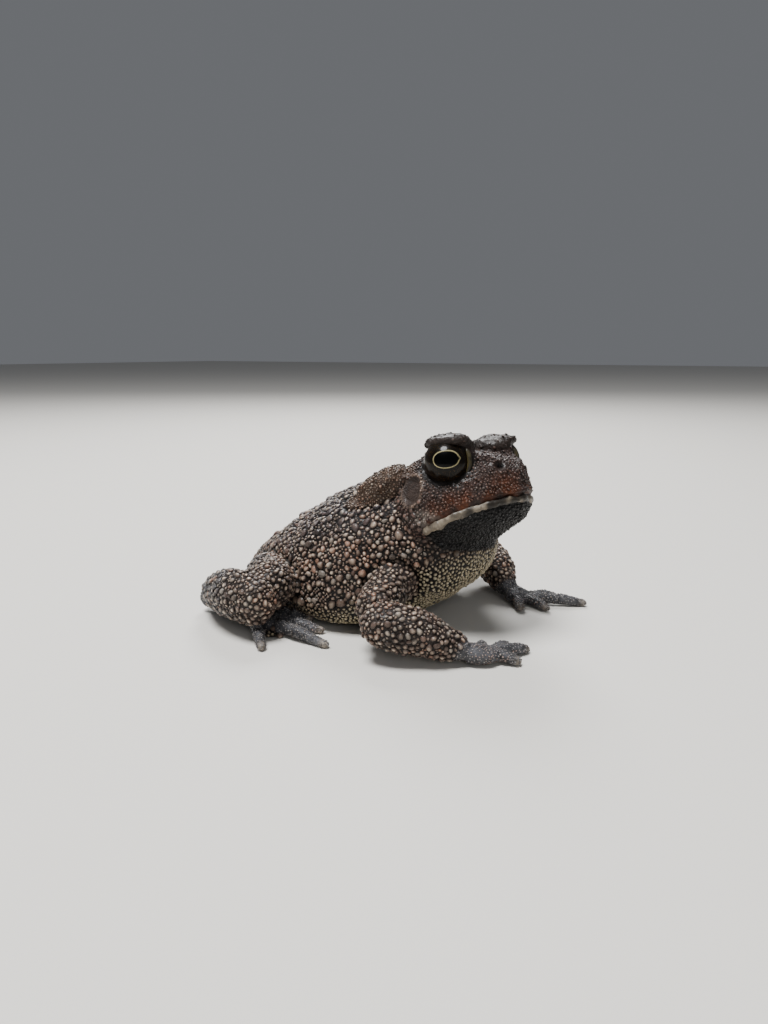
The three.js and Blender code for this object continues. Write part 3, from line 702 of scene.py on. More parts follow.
def regions(points):
    """Soft shares, 0 to 1, of the parts of the body at each point of the skin. Steps and bells are in mm."""
    forward, _, up = in_head(points)
    limbs = beyond(points, limb_chains("upper_arm", "forearm", "palm", "thigh", "shank", "tarsus"))
    digits = beyond(points, limb_chains("palm", "fingers", "toes", "tarsus"))
    ends = [
        (place(*np.array(digit[1], float), 0.8)[None], np.array([1.0]))
        for name in SIDES
        for digit in ARMS[name]["digits"] + LEGS[name]["digits"]
    ]
    tips = beyond(points, ends)
    glands = beyond(points, [chain([[a, sign * b, *c] for a, b, *c in PAROTOID]) for sign in SIDES.values()])
    head = smoothstep(-1.2, 1.2, forward - np.interp(up, *NECK_LINE)) * smoothstep(0.2, 1.5, limbs)
    below = smoothstep(0.2, 1.2, lip_height(forward) - up) * smoothstep(-4.6, -3.4, forward)
    hand = 1 - smoothstep(0.1, 0.9, digits)
    limb = 1 - smoothstep(0.3, 1.4, limbs)
    over_belly = points[:, 2] - np.interp(-points[:, 1], *BELLY_LINE)
    belly = (1 - smoothstep(-2.5, 2.5, over_belly)) * (1 - limb) * (1 - head) * smoothstep(0.6, 2.4, digits)
    # The folds are the creases at the roots of the limbs and round the glands; the skin's colour darkens them
    # as painted shade
    limb_fold = bell(limbs, 0.9, 0.55) * (1 - head) * (1 - hand)
    gland_fold = bell(glands, 1.0, 0.5) * (1 - smoothstep(34, 36, points[:, 2]))
    return {
        "head": head,
        "throat": head * below,
        "hand": hand,
        "limb": limb * (1 - hand),
        "belly": belly,
        "ear": 1 - smoothstep(0.95, 1.15, ear_offset(points)),
        "gland": 1 - smoothstep(0.1, 0.8, glands),
        "fold": np.maximum(limb_fold, gland_fold),
        "tip": 1 - smoothstep(0.0, 1.6, tips),
    }


def linear(code):
    """An sRGB hex colour as linear red, green, blue."""
    channels = np.array([int(code[i : i + 2], 16) for i in (1, 3, 5)]) / 255
    return np.where(channels <= 0.04045, channels / 12.92, ((channels + 0.055) / 1.055) ** 2.4)


def palette():
    """Every colour by its name, linear: those in the settings and the SHADES that go with them."""
    chosen = bpy.context.scene.toad_colours
    tones = {name: np.array(getattr(chosen, name)) for name in ToadColours.__annotations__}
    return {**tones, **{name: linear(code) for name, code in SHADES.items()}}


def painted(colours, layers):
    """Colours covered by one layer after another, each a colour and its share at each point."""
    for colour, share in layers:
        colours = colours + (colour - colours) * np.asarray(share)[:, None]
    return colours


def skin_colours(points, normals, region):
    """The skin between the warts: near black on the back, brown to rust on the head, black at the throat."""
    tone = palette()
    forward, _, up = in_head(points)
    height = up - lip_height(forward)
    ear, eye = ear_offset(points), eye_offset(points)
    head, hand = region["head"], region["hand"]
    face = head * (1 - region["throat"])
    rusty = smoothstep(-4, -1, forward) * (1 - smoothstep(1.5, 6.5, height))
    rusty *= smoothstep(-1.2, 1.0, waves(points, 4.5, 7))
    corner = bell(forward, -3.0, 2.6) * bell(up, -11.0, 1.4) * smoothstep(-0.9, 0.6, waves(points, 1.6, 21))
    brow = smoothstep(1.6, 3.4, up) * smoothstep(-6, -4, forward)
    # Painted shade in the crease round the lower half of each eyeball
    shade_under_eye = (1 - smoothstep(0.7, 1.9, eye)) * (1 - smoothstep(0.5, 2.5, up))
    bands = np.sin(2 * np.pi * (np.linalg.norm(points[:, :2], axis=1) + 0.6 * waves(points, 5, 12)) / 3.2)
    bare = np.maximum.reduce([head, hand, region["gland"]])
    layers = [
        # Painted sky reflection: skin that faces up is tinted bluish, as though it mirrored the sky
        (tone["top"], smoothstep(0.4, 0.9, normals[:, 2]) * 0.7),
        (tone["head"], head),
        (tone["rust"], face * rusty * 0.9),
        (tone["mouth corner"], face * corner * 0.8),
        (tone["brow"], face * brow * 0.8),
        (tone["ink"], shade_under_eye * 0.9),
        # The throat's near-black is its dark skin and also painted shade under the head, which faces the
        # floor
        (tone["throat"], region["throat"]),
        (tone["gland"], region["gland"] * 0.85),
        (tone["ink"], region["belly"] * 0.8),
        (tone["limb"], region["limb"] * 0.6),
        (tone["hand"], hand),
        (tone["hand band"], hand * smoothstep(0.2, 1.0, bands) * 0.55),
        (tone["digit tip"], region["tip"] * 0.6),
        (tone["ear rim"], bell(ear, 1.2, 0.12) * 0.9),
        (tone["ear"], region["ear"]),
        # Painted shade inside the nostrils: near black
        (tone["nostril"], 1 - smoothstep(0.8, 1.2, nostril_offset(points))),
        (tone["ink"], bare * smoothstep(0.5, 1.5, waves(points, 1.5, 6)) * 0.6),
        # Painted shade: the creases where the limbs meet the body and round the glands are darkened
        (tone["ink"], region["fold"] * 0.85),
    ]
    colours = painted(np.tile(tone["back"], (len(points), 1)) * 0.6, layers)
    return colours * (1 + 0.15 * waves(points, 9, 5)[:, None])


def shaped_skin(points, region):
    """Offsets of the skin along its normals, mm: lumps, the mouth's line, eardrums, nostrils and folds."""
    forward, _, up = in_head(points)
    ear, nostril = ear_offset(points), nostril_offset(points)
    lumps = 0.16 * waves(points, 7, 1) + 0.07 * waves(points, 2.4, 2)
    mouth = region["head"] * smoothstep(-4.2, -3.0, forward) * bell(lip_height(forward), up, 0.45)
    offset = lumps * (1 - 0.85 * region["hand"]) - 0.45 * mouth - 0.7 * region["fold"]
    offset += 0.2 * region["gland"] * waves(points, 2.8, 22)
    offset *= smoothstep(0.8, 1.3, ear)
    offset += 0.4 * bell(ear, 1.15, 0.15) - 0.4 * (1 - smoothstep(0.8, 1.05, ear))
    offset += 0.3 * bell(nostril, 1.9, 0.6) - 1.3 * bell(nostril, 0, 1)
    leather = 0.07 * waves(points, 1.5, 3) + 0.04 * waves(points, 0.95, 4)
    offset += region["head"] * (1 - region["ear"]) * leather
    return np.where(points[:, 2] < LEVEL_REST, 0, offset)


def one_mesh(thing):
    """The object's mesh with its modifiers, as a plain mesh in place of the old one."""
    graph = bpy.context.evaluated_depsgraph_get()
    mesh = bpy.data.meshes.new_from_object(thing.evaluated_get(graph))
    thing.modifiers.clear()
    thing.data = mesh
    return mesh


def make_skin(settings):
    """One closed skin: the joined forms, remeshed, relaxed, and moved along its normals by shaped_skin."""
    skin = new_mesh("skin", *closed_parts(flesh_grids()))
    remesh = skin.modifiers.new("One skin", "REMESH")
    remesh.mode = "VOXEL"
    remesh.voxel_size = settings.skin_step * MM
    relax = skin.modifiers.new("Relax", "SMOOTH")
    relax.factor = 0.5
    relax.iterations = settings.relax_steps
    mesh = one_mesh(skin)
    if not len(mesh.vertices):
        raise RuntimeError("The skin came out empty: its step is too large.")
    points, normals = surface_arrays(mesh)
    points = points + normals * shaped_skin(points, regions(points))[:, None]
    points[:, 2] = np.maximum(points[:, 2], 0.0)
    mesh.vertices.foreach_set("co", ((points + BODY_SHIFT) * MM).ravel())
    mesh.update()
    mesh.polygons.foreach_set("use_smooth", np.ones(len(mesh.polygons), bool))
    points, normals = surface_arrays(mesh)
    region = regions(points)
    give_colours(mesh, "paint", skin_colours(points, normals, region))
    corners = read(mesh.loops, "vertex_index", np.int32)
    sides = read(mesh.polygons, "loop_total", np.int32)
    facing = np.repeat(read(mesh.polygon_normals, "vector"), sides, axis=0)
    mesh.uv_layers.new(name="OFBake").data.foreach_set("uv", unwrap(facing, points[corners]).ravel())
    return skin, points, normals, region


def wart_radius(kind, size):
    """The radius of a kind of wart for a dice value of 0 to 1: least + more times dice to a power."""
    least, more, exponent = WART_SIZES[kind]
    return least + more * size**exponent


def spaced(points, radius, order, crowding):
    """Of the points in order, those with no earlier one nearer than both radii times the crowding.

    Whether a wart has room depends on all that were set before it, so they are set one by one.
    """
    tree = KDTree(len(order))
    for index in order:
        tree.insert(points[index], int(index))
    tree.balance()
    taken = np.zeros(len(points), bool)
    chosen = []
    for root in order:
        if taken[root]:
            continue
        chosen.append(root)
        reach = radius[root] * crowding
        for _, other, distance in tree.find_range(points[root], reach + WIDEST_WART):
            if distance < reach + radius[other] * crowding:
                taken[other] = True
    return np.array(chosen, int)


def choose_roots(points, region, settings):
    """Vertices that carry a wart and each wart's radius: large ones first, then what fits between them."""
    random = np.random.default_rng(settings.seed)
    dice, size = random.random(len(points)), random.random(len(points))
    forward, _, up = in_head(points)
    over_lip = up - lip_height(forward)
    head, belly, hand, gland = (region[name] for name in ("head", "belly", "hand", "gland"))
    behind_mouth = head * (1 - smoothstep(-5, -1, forward)) * (1 - smoothstep(-6, -3.5, up))
    rough = (1 - head) * (1 - belly) * (1 - hand)
    plain = (gland < 0.3) & (belly < 0.2)
    large = (dice < LARGE_SHARE) & (rough > 0.6) & plain & (region["limb"] < 0.5)
    medium = ~large & (dice < MEDIUM_SHARE) & plain & ((rough > 0.5) | (behind_mouth > 0.4))
    face = (head > 0.5) & (region["throat"] < 0.3) & (forward > -4)
    kinds = {
        "medium": medium,
        "large": large,
        "belly": belly > 0.5,
        "gland": gland > 0.5,
        "face": face,
        "hand": hand > 0.3,
    }
    radius = wart_radius("plain", size)
    for kind, where in kinds.items():
        radius = np.where(where, wart_radius(kind, size), radius)
    bare = (
        (eye_offset(points) < 0.9)
        | (region["ear"] > 0.02)
        | (nostril_offset(points) < 2.0)
        | (points[:, 2] < LEVEL_REST)
        | ((hand > 0.3) & (dice > 0.5))
        | ((head > 0.5) & (forward > -3.8) & (over_lip < 0.9) & (over_lip > -1.8))
        | ((region["fold"] > 0.5) & (dice > 0.2))
        | (face & (dice > np.where(up > 1.6, 0.06, 0.85)))
    )
    order = np.argsort(-radius)
    chosen = spaced(points, radius, order[~bare[order]], settings.crowding)
    return chosen, radius[chosen], random


def dome(rings, around):
    """A closed wart of radius 1, height 1: rings of a rounded dome over a root, then a flat base."""
    polar = np.pi / 2 * np.linspace(1, 0, rings + 1)[:-1]
    angle = 2 * np.pi * np.arange(around) / around
    radii = np.concatenate([[WART_ROOT[0]], np.sin(polar)])[:, None]
    heights = np.concatenate([[-WART_ROOT[1]], np.cos(polar)])[:, None]
    ring = np.stack([radii * np.cos(angle), radii * np.sin(angle), heights * np.ones(around)], axis=-1)
    points = np.concatenate([ring.reshape(-1, 3), [[0, 0, 1.0]]])
    j, k = np.arange(around), (np.arange(around) + 1) % around
    low, last = around * np.arange(rings)[:, None], around * rings
    high = low + around
    faces = [
        np.stack([low + j, low + k, high + k], axis=-1).reshape(-1, 3),
        np.stack([low + j, high + k, high + j], axis=-1).reshape(-1, 3),
        np.column_stack([last + j, last + k, np.full(around, len(points) - 1)]),
        np.column_stack([np.zeros(around - 2, int), j[2:], j[1:-1]]),
    ]
    return points, np.concatenate(faces)


def make_warts(name, roots, normals, radii, colours, tips, form, triangles, flat, random):
    """Warts as one mesh: each is its root plus its radius times an uneven dome that stands on the skin."""
    count = len(roots)
    helper = np.where(np.abs(normals[:, 2:]) < 0.9, [[0, 0, 1.0]], [[1.0, 0, 0]])
    side = np.cross(helper, normals)
    side /= np.linalg.norm(side, axis=1, keepdims=True)
    front = np.cross(normals, side)
    spin = random.uniform(0, 2 * np.pi, count)[:, None]
    a = side * np.cos(spin) + front * np.sin(spin)
    b = np.cross(normals, a)
    oval = random.uniform(*WART_OVAL, (count, 1))
    height = flat * random.uniform(*WART_RISE, (count, 1))
    lean = random.normal(0, WART_LEAN, (count, 2))
    angle = np.arctan2(form[:, 1], form[:, 0])[None, :, None]
    dent = 1
    for folds in (2, 3):
        dent = dent + WART_DENT * np.sin(folds * angle + random.uniform(0, 7, (count, 1, 1)))
    x, y, z = form[None, :, 0:1] * dent, form[None, :, 1:2] * dent, form[None, :, 2:3]
    up = np.clip(z, 0, None)
    points = roots[:, None] + radii[:, None, None] * (
        a[:, None] * (x * oval[:, None] + up * lean[:, None, :1])
        + b[:, None] * (y / oval[:, None] + up * lean[:, None, 1:])
        + normals[:, None] * z * height[:, None]
    )
    points[..., 2] = np.maximum(points[..., 2], 0.0)
    faces = (triangles[None] + len(form) * np.arange(count)[:, None, None]).reshape(-1, 3)
    raised = np.clip(form[:, 2], 0, 1)[None, :, None]
    # Painted shade: each wart darkens towards ink at its foot, in the crease where it meets the skin
    ink = linear(SHADES["ink"])
    foot = ink + (colours - ink) * 0.2
    body = foot[:, None] + (colours - foot)[:, None] * smoothstep(0.0, 0.6, raised)
    paint = body + (tips - colours)[:, None] * smoothstep(0.65, 1.0, raised) * 0.95
    warts = new_mesh(name, points.reshape(-1, 3), faces.tolist())
    give_colours(warts.data, "paint", paint.reshape(-1, 3))
    patch = WART_PATCH * form[:, :2] * (1 - 0.5 * np.clip(form[:, 2:3], 0, 1))
    tiled = (unwrap(normals, roots)[:, None] + patch[None]).reshape(-1, 2)[faces.ravel()]
    warts.data.uv_layers.new(name="OFBake").data.foreach_set("uv", tiled.ravel())
    return warts


def wart_colours(points, normals, region, skin, random):
    """Body and tip colour of each wart: tan to pink-brown, cream low down, near black at the throat."""
    tone = palette()
    count = len(points)
    face = region["head"] * (1 - region["throat"])
    # back is how far each wart faces up: it tints those warts bluish grey as a painted sky reflection, and
    # holds back their pink
    back = smoothstep(0.35, 0.85, normals[:, 2]) * (1 - region["limb"])
    open_skin = (1 - region["belly"]) * (1 - region["throat"])
    chance = 0.8 * waves(points, 11, 15) + random.normal(0, 0.7, count)
    grey = smoothstep(0.9, 1.8, random.normal(0, 1, count))
    pale = np.clip(0.42 + 0.3 * random.normal(size=count), 0.0, 0.95)
    blush = random.uniform(0, 0.5, count)
    pink = smoothstep(0.5, 1.8, chance) * (1 - 0.8 * face) * (1 - 0.5 * back)
    colours = painted(np.tile(tone["back_wart"], (count, 1)), [
        (tone["limb_wart"], region["limb"]),
        (tone["far limb wart"], region["limb"] * smoothstep(20, 30, points[:, 1]) * 0.7),
        # Painted sky reflection: warts that face up turn bluish grey
        (tone["sky-tinted wart"], back * 0.75),
        (tone["gland"], region["gland"] * 0.9),
        (np.minimum(skin * 1.3, 1), face * 0.9),
        (tone["belly_wart"], region["belly"] * 0.85),
        # near black at the throat: dark skin and painted shade under the head
        (tone["throat wart"], region["throat"] * 0.97),
        (tone["hand wart"], region["hand"]),
        (tone["dark wart"], smoothstep(0.1, 1.6, -chance) * 0.8 * open_skin),
        (tone["pink wart"], pink * 0.6 * open_skin),
        (tone["grey wart"], grey * 0.6 * open_skin * (1 - 0.7 * face)),
    ])
    tips = painted(colours, [
        (tone["wart_tip"], pale),
        # The face's granule tips are partly a painted glint: lighter than the skin under them and pinkish, in
        # place of wet highlights
        (np.minimum(skin * 1.7, 1), face * 0.9),
        (tone["face tip and glint"], face * blush),
        (tone["belly tip"], region["belly"] * 0.7),
        # dark throat tips: dark skin and painted shade under the head
        (tone["throat tip"], region["throat"] * 0.95),
        (tone["hand tip"], region["hand"] * 0.8),
    ])
    return colours, tips


def make_eye(name, sign, gaze):
    """An eyeball: a sphere of EYE_RADIUS whose colours follow the distance from the pupil over its size."""
    tone = palette()
    steps = 90
    polar = np.pi * np.linspace(0, 1, steps + 1)[:, None]
    angle = (2 * np.pi * np.arange(2 * steps) / (2 * steps))[None, :]
    out = sign * np.cos(polar) * np.ones_like(angle)
    ring = np.sin(polar)
    ball = EYE_RADIUS * np.stack([out, -ring * np.cos(angle), ring * np.sin(angle)], axis=-1)
    points, faces = closed_parts([from_head(place(0, sign * EYE_SPAN / 2, 0) + ball)])
    eye = new_mesh(name, points, faces)
    forward, left, up = in_head(points)
    aside = sign * left - EYE_SPAN / 2
    ahead = forward * math.cos(gaze) - aside * math.sin(gaze)
    out = aside * math.cos(gaze) + forward * math.sin(gaze)
    up = up - PUPIL_HEIGHT
    oval = np.abs(ahead / PUPIL_SIZE[0]) ** PUPIL_SQUARENESS + np.abs(up / PUPIL_SIZE[1]) ** PUPIL_SQUARENESS
    oval = oval ** (1 / PUPIL_SQUARENESS)
    oval = np.where(out > 0, oval, FAR_OFF) - 0.1 * bell(up, 0, 0.3) * smoothstep(1.2, 2.4, ahead)
    give_colours(eye.data, "paint", painted(np.tile(tone["eyeball"], (len(points), 1)), [
        (tone["iris"], smoothstep(1.1, 1.3, oval)),
        (tone["eye_ring"], bell(oval, 1.05, 0.03) * (0.45 + 0.55 * np.abs(np.sin(np.arctan2(up, ahead))))),
        (tone["pupil"], 1 - smoothstep(0.94, 1.02, oval)),
    ]))
    give_colours(eye.data, "iris", np.repeat(smoothstep(1.15, 1.5, oval)[:, None], 3, axis=1))
    return eye


def make_lids():
    """The rims of the lids: dark rings round the eyeballs with a thin olive edge in front and behind."""
    tone = palette()
    rings = [
        ring_grid((0, sign * (EYE_SPAN / 2 - LID_SUNK), 0), LID_REACH, LID_THICKNESS, LID_TURN, (110, 14))
        for sign in SIDES.values()
    ]
    points, faces = closed_parts([from_head(ring) for ring in rings])
    lids = new_mesh("lid_rims", points, faces)
    forward, _, up = in_head(points)
    reach = np.hypot(forward / LID_REACH[0], up / LID_REACH[1]) * np.mean(LID_REACH)
    edge = 1 - smoothstep(4.85, 5.1, reach)
    front = smoothstep(1.0, 4.0, forward) * (1 - smoothstep(1.0, 3.0, np.abs(up - 0.6)))
    give_colours(lids.data, "paint", painted(np.tile(tone["lid"], (len(points), 1)), [
        (tone["lid edge"], edge * (1 - smoothstep(2.6, 4.6, np.abs(up)))),
        (tone["lid corner"], front * (1 - edge) * 0.8),
        (tone["ink"], smoothstep(0.2, 1.2, waves(points, 1.6, 30)) * 0.6),
    ]))
    return lids


def make_lip():
    """The lower lip: an uneven rim under the mouth's line, pale grey with dark blotches towards the front."""
    tone = palette()
    grid = from_head(limb_grid(lip_rows(LOWER_LIP), (220, 16)))
    middle = grid.mean(axis=1, keepdims=True)
    uneven = 0.24 * waves(grid.reshape(-1, 3), 3.2, 35) + 0.1 * waves(grid.reshape(-1, 3), 1.1, 36)
    points, faces = closed_parts([middle + (grid - middle) * (1 + uneven.reshape(grid.shape[:2]))[..., None]])
    lip = new_mesh("lower_lip", points, faces)
    forward, _, _ = in_head(points)
    blotch = waves(points * [1, 1, 0.4], 4.2, 33) + 0.05 * forward
    give_colours(lip.data, "paint", painted(np.tile(tone["lip"], (len(points), 1)), [
        (tone["lip shade"], smoothstep(-0.3, 1.0, waves(points, 2.0, 34)) * 0.7),
        (tone["lip light"], smoothstep(0.6, 1.4, waves(points, 0.9, 37)) * 0.5),
        (tone["ink"], smoothstep(-0.1, 0.8, blotch) * 0.9 * smoothstep(-1, 6, forward)),
    ]))
    return lip


def add_node(tree, kind, settings=(), links=()):
    """A shader node of a kind, with sockets set from settings and fed from links {socket: output}."""
    node = tree.nodes.new("ShaderNode" + kind)
    for key, value in dict(settings).items():
        if isinstance(key, str) and hasattr(node, key):
            setattr(node, key, value)
        else:
            node.inputs[key].default_value = value
    for socket, output in dict(links).items():
        tree.links.new(output, node.inputs[socket])
    return node


def new_material(name):
    """An empty material and its node tree."""
    material = bpy.data.materials.new(name)
    material.use_nodes = True
    material.node_tree.nodes.clear()
    return material, material.node_tree


def skin_material(name):
    """Toad skin, leathery under a moist film: specks break its painted colour, pebbles of its own grain and
    depth catch the light, and a fine grain softens it."""
    rough, grain, depth, film = SKINS[name]
    material, tree = new_material(name)
    where = add_node(tree, "TexCoord").outputs["Object"]
    paint = add_node(tree, "Attribute", {"attribute_name": "paint"})
    mottle = add_node(
        tree,
        "TexNoise",
        {"Scale": 1 / (SPECK * MM), "Detail": 5.0, "Roughness": 0.65},
        {"Vector": where},
    ).outputs["Fac"]
    value = add_node(
        tree,
        "MapRange",
        {"From Min": 0.3, "From Max": 0.7, "To Min": 0.66, "To Max": 1.3},
        {"Value": mottle},
    )
    toned = add_node(
        tree,
        "Mix",
        {"data_type": "RGBA", "blend_type": "MULTIPLY", 0: 1.0},
        {6: paint.outputs["Color"], 7: value.outputs["Result"]},
    )
    pebbles = add_node(tree, "TexVoronoi", {"Scale": 1 / (grain * MM), "Randomness": 0.9}, {"Vector": where})
    fine = add_node(tree, "TexNoise", {"Scale": 1 / (FINE_GRAIN * MM), "Detail": 3.0}, {"Vector": where})
    pebbled = add_node(
        tree,
        "Bump",
        {"Strength": 0.9, "Distance": depth * MM, "invert": True},
        {"Height": pebbles.outputs["Distance"]},
    )
    grained = add_node(
        tree,
        "Bump",
        {"Strength": 0.5, "Distance": FINE_DEPTH * MM},
        {"Height": fine.outputs["Fac"], "Normal": pebbled.outputs["Normal"]},
    )
    shine = add_node(tree, "MapRange", {"To Min": rough - 0.1, "To Max": rough + 0.12}, {"Value": mottle})
    shader = add_node(
        tree,
        "BsdfPrincipled",
        {"IOR": 1.4, "Coat Weight": film, "Coat Roughness": 0.16, "Specular IOR Level": 0.22},
        {
            "Base Color": toned.outputs[2],
            "Roughness": shine.outputs["Result"],
            "Normal": grained.outputs["Normal"],
        },
    )
    add_node(tree, "OutputMaterial", links={"Surface": shader.outputs[0]})
    return material


def eye_material():
    """A wet eye: near-black iris flecked with gold and a thin pale ring round a flat oval pupil, under a film
    of tears that gives the sharp highlight."""
    material, tree = new_material("Wet eye")
    where = add_node(tree, "TexCoord").outputs["Object"]
    paint = add_node(tree, "Attribute", {"attribute_name": "paint"})
    iris = add_node(tree, "Attribute", {"attribute_name": "iris"})
    flecks = add_node(
        tree,
        "TexNoise",
        {"Scale": 1 / (IRIS_FLECK * MM), "Detail": 4.0, "Roughness": 0.8},
        {"Vector": where},
    )
    amount = add_node(
        tree,
        "MapRange",
        {"From Min": 0.57, "From Max": 0.7, "To Min": 0.0, "To Max": 0.7},
        {"Value": flecks.outputs["Fac"]},
    )
    share = add_node(
        tree, "Math", {"operation": "MULTIPLY"}, {0: amount.outputs["Result"], 1: iris.outputs["Fac"]}
    )
    coloured = add_node(
        tree,
        "Mix",
        {"data_type": "RGBA", 7: (*linear(SHADES["iris fleck"]), 1.0)},
        {0: share.outputs[0], 6: paint.outputs["Color"]},
    )
    shader = add_node(
        tree,
        "BsdfPrincipled",
        {
            "Roughness": 0.3,
            "Specular IOR Level": 0.05,
            "Coat Weight": 0.35,
            "Coat Roughness": 0.02,
            "Coat IOR": 1.34,
        },
        {"Base Color": coloured.outputs[2]},
    )
    add_node(tree, "OutputMaterial", links={"Surface": shader.outputs[0]})
    return material


def floor_material(colour):
    """Matt pale paint, which shows the toad's soft shadow."""
    material, tree = new_material("Pale floor")
    shader = add_node(tree, "BsdfPrincipled", {"Base Color": (*colour, 1.0), "Roughness": 0.8})
    add_node(tree, "OutputMaterial", links={"Surface": shader.outputs[0]})
    return material


FLESH = ["torso", "head", "lower_jaw"] + [
    part + "_" + side
    for side in SIDES
    for part in ("ear", "parotoid", "upper_arm", "forearm", "hand", "thigh", "shank", "foot")
]


def dress(thing, material, nodes):
    """Gives a piece its material and ties it to the solids it stands for."""
    missing = [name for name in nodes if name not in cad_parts]
    if missing:
        raise RuntimeError("The packed model has no " + ", ".join(missing))
    thing.data.materials.clear()
    thing.data.materials.append(material)
    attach(thing, "root")
    if nodes:
        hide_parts(*nodes)


def colour_setting(name, description, code):
    """A colour that a user can change, from an sRGB hex default."""
    return bpy.props.FloatVectorProperty(
        name=name, description=description, default=linear(code).tolist(), min=0.0, max=1.0, subtype="COLOR"
    )


class ToadSettings(bpy.types.PropertyGroup):
    """Sizes of the toad's skin, warts, gaze and floor."""

    skin_step: bpy.props.FloatProperty(
        name="Skin step", description="Spacing of the skin's points, mm", default=0.45, min=0.2, max=2.0
    )
    relax_steps: bpy.props.IntProperty(
        name="Relax steps", description="Rounds of smoothing where forms meet", default=6, min=0, max=30
    )
    crowding: bpy.props.FloatProperty(
        name="Wart spacing",
        description="Distance between warts over the sum of their radii",
        default=0.9,
        min=0.5,
        max=3.0,
        subtype="FACTOR",
    )
    wart_height: bpy.props.FloatProperty(
        name="Wart height",
        description="Height of the warts over their usual height",
        default=1.0,
        min=0.2,
        max=2.0,
        subtype="FACTOR",
    )
    seed: bpy.props.IntProperty(name="Seed", description="Seed of the warts' places", default=11)
    gaze: bpy.props.FloatProperty(
        name="Gaze",
        description="How far forward of straight out the pupils look",
        default=math.radians(34),
        subtype="ANGLE",
    )
    floor_half: bpy.props.FloatProperty(
        name="Floor half width", description="Half the width of the floor", default=3.0, unit="LENGTH"
    )


class ToadColours(bpy.types.PropertyGroup):
    """Colours of the toad and its floor."""

    back: colour_setting("Back", "Skin between the warts of back and flanks", "#221d1b")
    # The Top colour is a painted bluish sky reflection on the skin that faces up
    top: colour_setting("Top", "Skin between the warts where the back faces up, tinted bluish as a painted sky reflection", "#17171a")
    back_wart: colour_setting("Back warts", "Warts of back and flanks", "#53423a")
    limb_wart: colour_setting("Limb warts", "Warts of arms and legs", "#51433c")
    belly_wart: colour_setting("Belly warts", "Cream granules of breast and belly", "#978b70")
    wart_tip: colour_setting("Wart tips", "Pale tips of the warts", "#bfac98")
    head: colour_setting("Head", "Skin of the head", "#2b211e")
    rust: colour_setting("Rust", "Rusty patches over the mouth", "#4a2818")
    gland: colour_setting("Glands", "Parotoid glands behind the eyes", "#43342a")
    ear: colour_setting("Eardrums", "Eardrums behind the eyes", "#332a26")
    # The Throat colour is dark skin and also painted shade under the head
    throat: colour_setting("Throat", "Dark skin of the throat, darkened further as painted shade under the head", "#050607")
    hand: colour_setting("Hands", "Skin of hands and feet", "#4a4a4d")
    lip: colour_setting("Lower lip", "Pale rim of the lower lip", "#7b7162")
    eye_ring: colour_setting("Eye ring", "Thin ring round the pupil", "#d6c998")
    floor: colour_setting("Floor", "Matt paint of the floor", "#cfccc6")


class TOAD_OT_skin(bpy.types.Operator):
    """Build the skin and the warts on it"""

    bl_idname = "toad.skin"
    bl_label = "Skin and Warts"

    def execute(self, context):
        settings = context.scene.toad
        skin, points, normals, region = make_skin(settings)
        dress(skin, skin_material("Skin between the warts"), FLESH)
        roots, radii, random = choose_roots(points, region, settings)
        shares = {name: share[roots] for name, share in region.items()}
        under = skin_colours(points[roots], normals[roots], shares)
        colours, tips = wart_colours(points[roots], normals[roots], shares, under, random)
        material = skin_material("Warts")
        for name, (least, most, shape, flat) in WART_PIECES.items():
            index = np.nonzero((radii > least) & (radii <= most))[0]
            form, triangles = dome(*shape)
            pieces = math.ceil(len(index) * len(triangles) / PIECE_TRIANGLES)
            if not pieces:
                raise RuntimeError("There is no room for " + name + ": the wart spacing is too large.")
            for k, part in enumerate(np.array_split(index, pieces)):
                at = roots[part]
                warts = make_warts(
                    "%s_%d" % (name, k + 1), points[at], normals[at], radii[part], colours[part], tips[part],
                    form, triangles, flat * settings.wart_height, random,
                )
                dress(warts, material, [])
        return {"FINISHED"}


class TOAD_OT_eyes(bpy.types.Operator):
    """Build the eyes, the rims of the lids and the lower lip"""

    bl_idname = "toad.eyes"
    bl_label = "Eyes and Lips"

    def execute(self, context):
        material = eye_material()
        for name, sign in SIDES.items():
            eye = make_eye("eyeball_" + name, sign, context.scene.toad.gaze)
            dress(eye, material, ["eye_" + name])
        dress(make_lids(), skin_material("Lid rims"), [])
        dress(make_lip(), skin_material("Lower lip"), [])
        return {"FINISHED"}


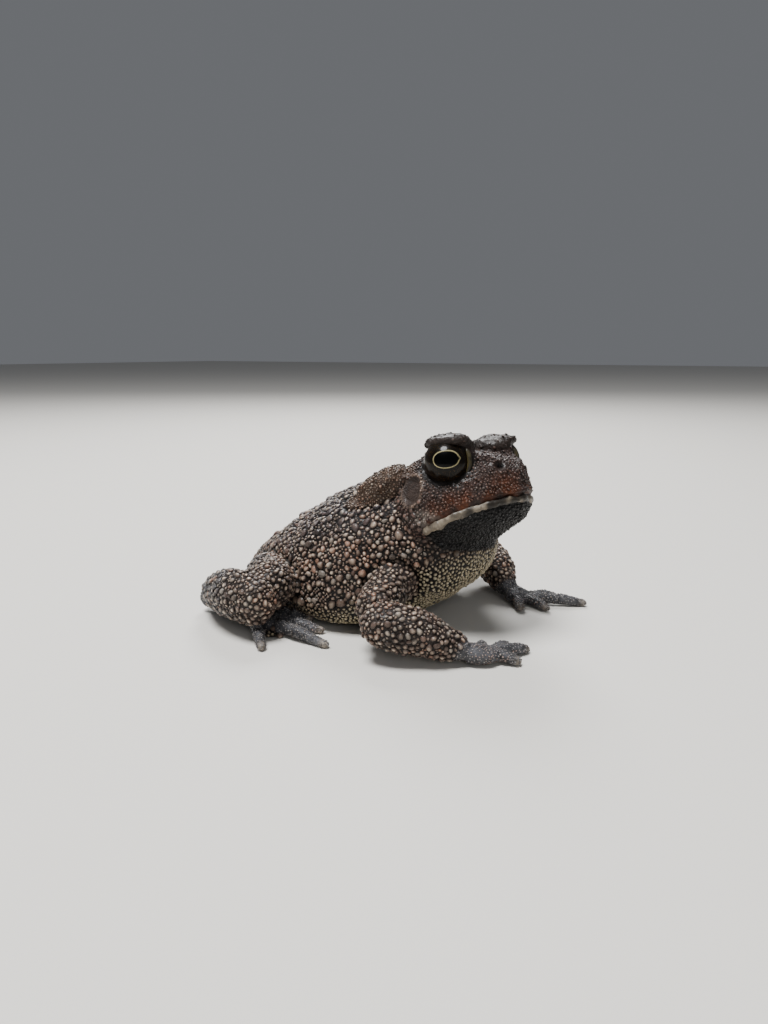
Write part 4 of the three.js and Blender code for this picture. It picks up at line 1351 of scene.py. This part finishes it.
class TOAD_OT_stage(bpy.types.Operator):
    """Build the floor, the soft lights and the camera"""

    bl_idname = "toad.stage"
    bl_label = "Stage"

    def execute(self, context):
        scene = context.scene
        half = scene.toad.floor_half
        mesh = bpy.data.meshes.new("floor")
        corners = [(-half, -half, 0), (half, -half, 0), (half, half, 0), (-half, half, 0)]
        mesh.from_pydata(corners, [], [(0, 1, 2, 3)])
        mesh.materials.append(floor_material(scene.toad_colours.floor))
        floor = link("floor", mesh)
        scene.world = bpy.data.worlds.new("Studio")
        scene.world.use_nodes = True
        light = scene.world.node_tree.nodes["Background"].inputs
        light["Color"].default_value = (*linear(SHADES["studio"]), 1.0)
        light["Strength"].default_value = STUDIO_STRENGTH
        for name, (at, size, watts, in_gloss) in LIGHTS.items():
            data = bpy.data.lights.new(name, "AREA")
            data.energy = watts
            data.shape = "DISK"
            data.size = size
            lamp = link(name, data)
            lamp.visible_glossy = in_gloss
            lamp.location = at
            lamp.rotation_euler = (Vector(LIGHTS_AIM) - Vector(at)).to_track_quat("-Z", "Y").to_euler()
        data = bpy.data.cameras.new("Camera")
        data.sensor_width = SENSOR
        data.lens = CAMERA_FOCUS / PICTURE_HIGH * SENSOR
        data.clip_start = MM
        camera = link("Camera", data)
        camera.location = CAMERA_AT
        level = math.cos(CAMERA_DIP)
        ahead = Vector((CAMERA_WAY[0] * level, CAMERA_WAY[1] * level, -math.sin(CAMERA_DIP)))
        camera.rotation_euler = ahead.to_track_quat("-Z", "Y").to_euler()
        scene.camera = camera
        return {"FINISHED"}


class TOAD_PT_panel(bpy.types.Panel):
    """The toad's settings and buttons in the sidebar"""

    bl_idname = "TOAD_PT_panel"
    bl_label = "American Toad"
    bl_space_type = "VIEW_3D"
    bl_region_type = "UI"
    bl_category = "Toad"

    def draw(self, context):
        """Lists every size, every colour and the three buttons."""
        scene = context.scene
        for settings, group in ((scene.toad, ToadSettings), (scene.toad_colours, ToadColours)):
            for name in group.__annotations__:
                self.layout.prop(settings, name)
        for operator in (TOAD_OT_skin, TOAD_OT_eyes, TOAD_OT_stage):
            self.layout.operator(operator.bl_idname)


CLASSES = (ToadSettings, ToadColours, TOAD_OT_skin, TOAD_OT_eyes, TOAD_OT_stage, TOAD_PT_panel)


def register():
    """Registers the classes and gives the scene the toad's settings."""
    for each in CLASSES:
        bpy.utils.register_class(each)
    bpy.types.Scene.toad = bpy.props.PointerProperty(type=ToadSettings)
    bpy.types.Scene.toad_colours = bpy.props.PointerProperty(type=ToadColours)


def unregister():
    """Takes the settings and the classes away again."""
    del bpy.types.Scene.toad_colours
    del bpy.types.Scene.toad
    for each in reversed(CLASSES):
        bpy.utils.unregister_class(each)


def main():
    """Builds the whole toad and its stage."""
    register()
    bpy.ops.toad.skin()
    bpy.ops.toad.eyes()
    bpy.ops.toad.stage()


if __name__ == "__main__":
    main()
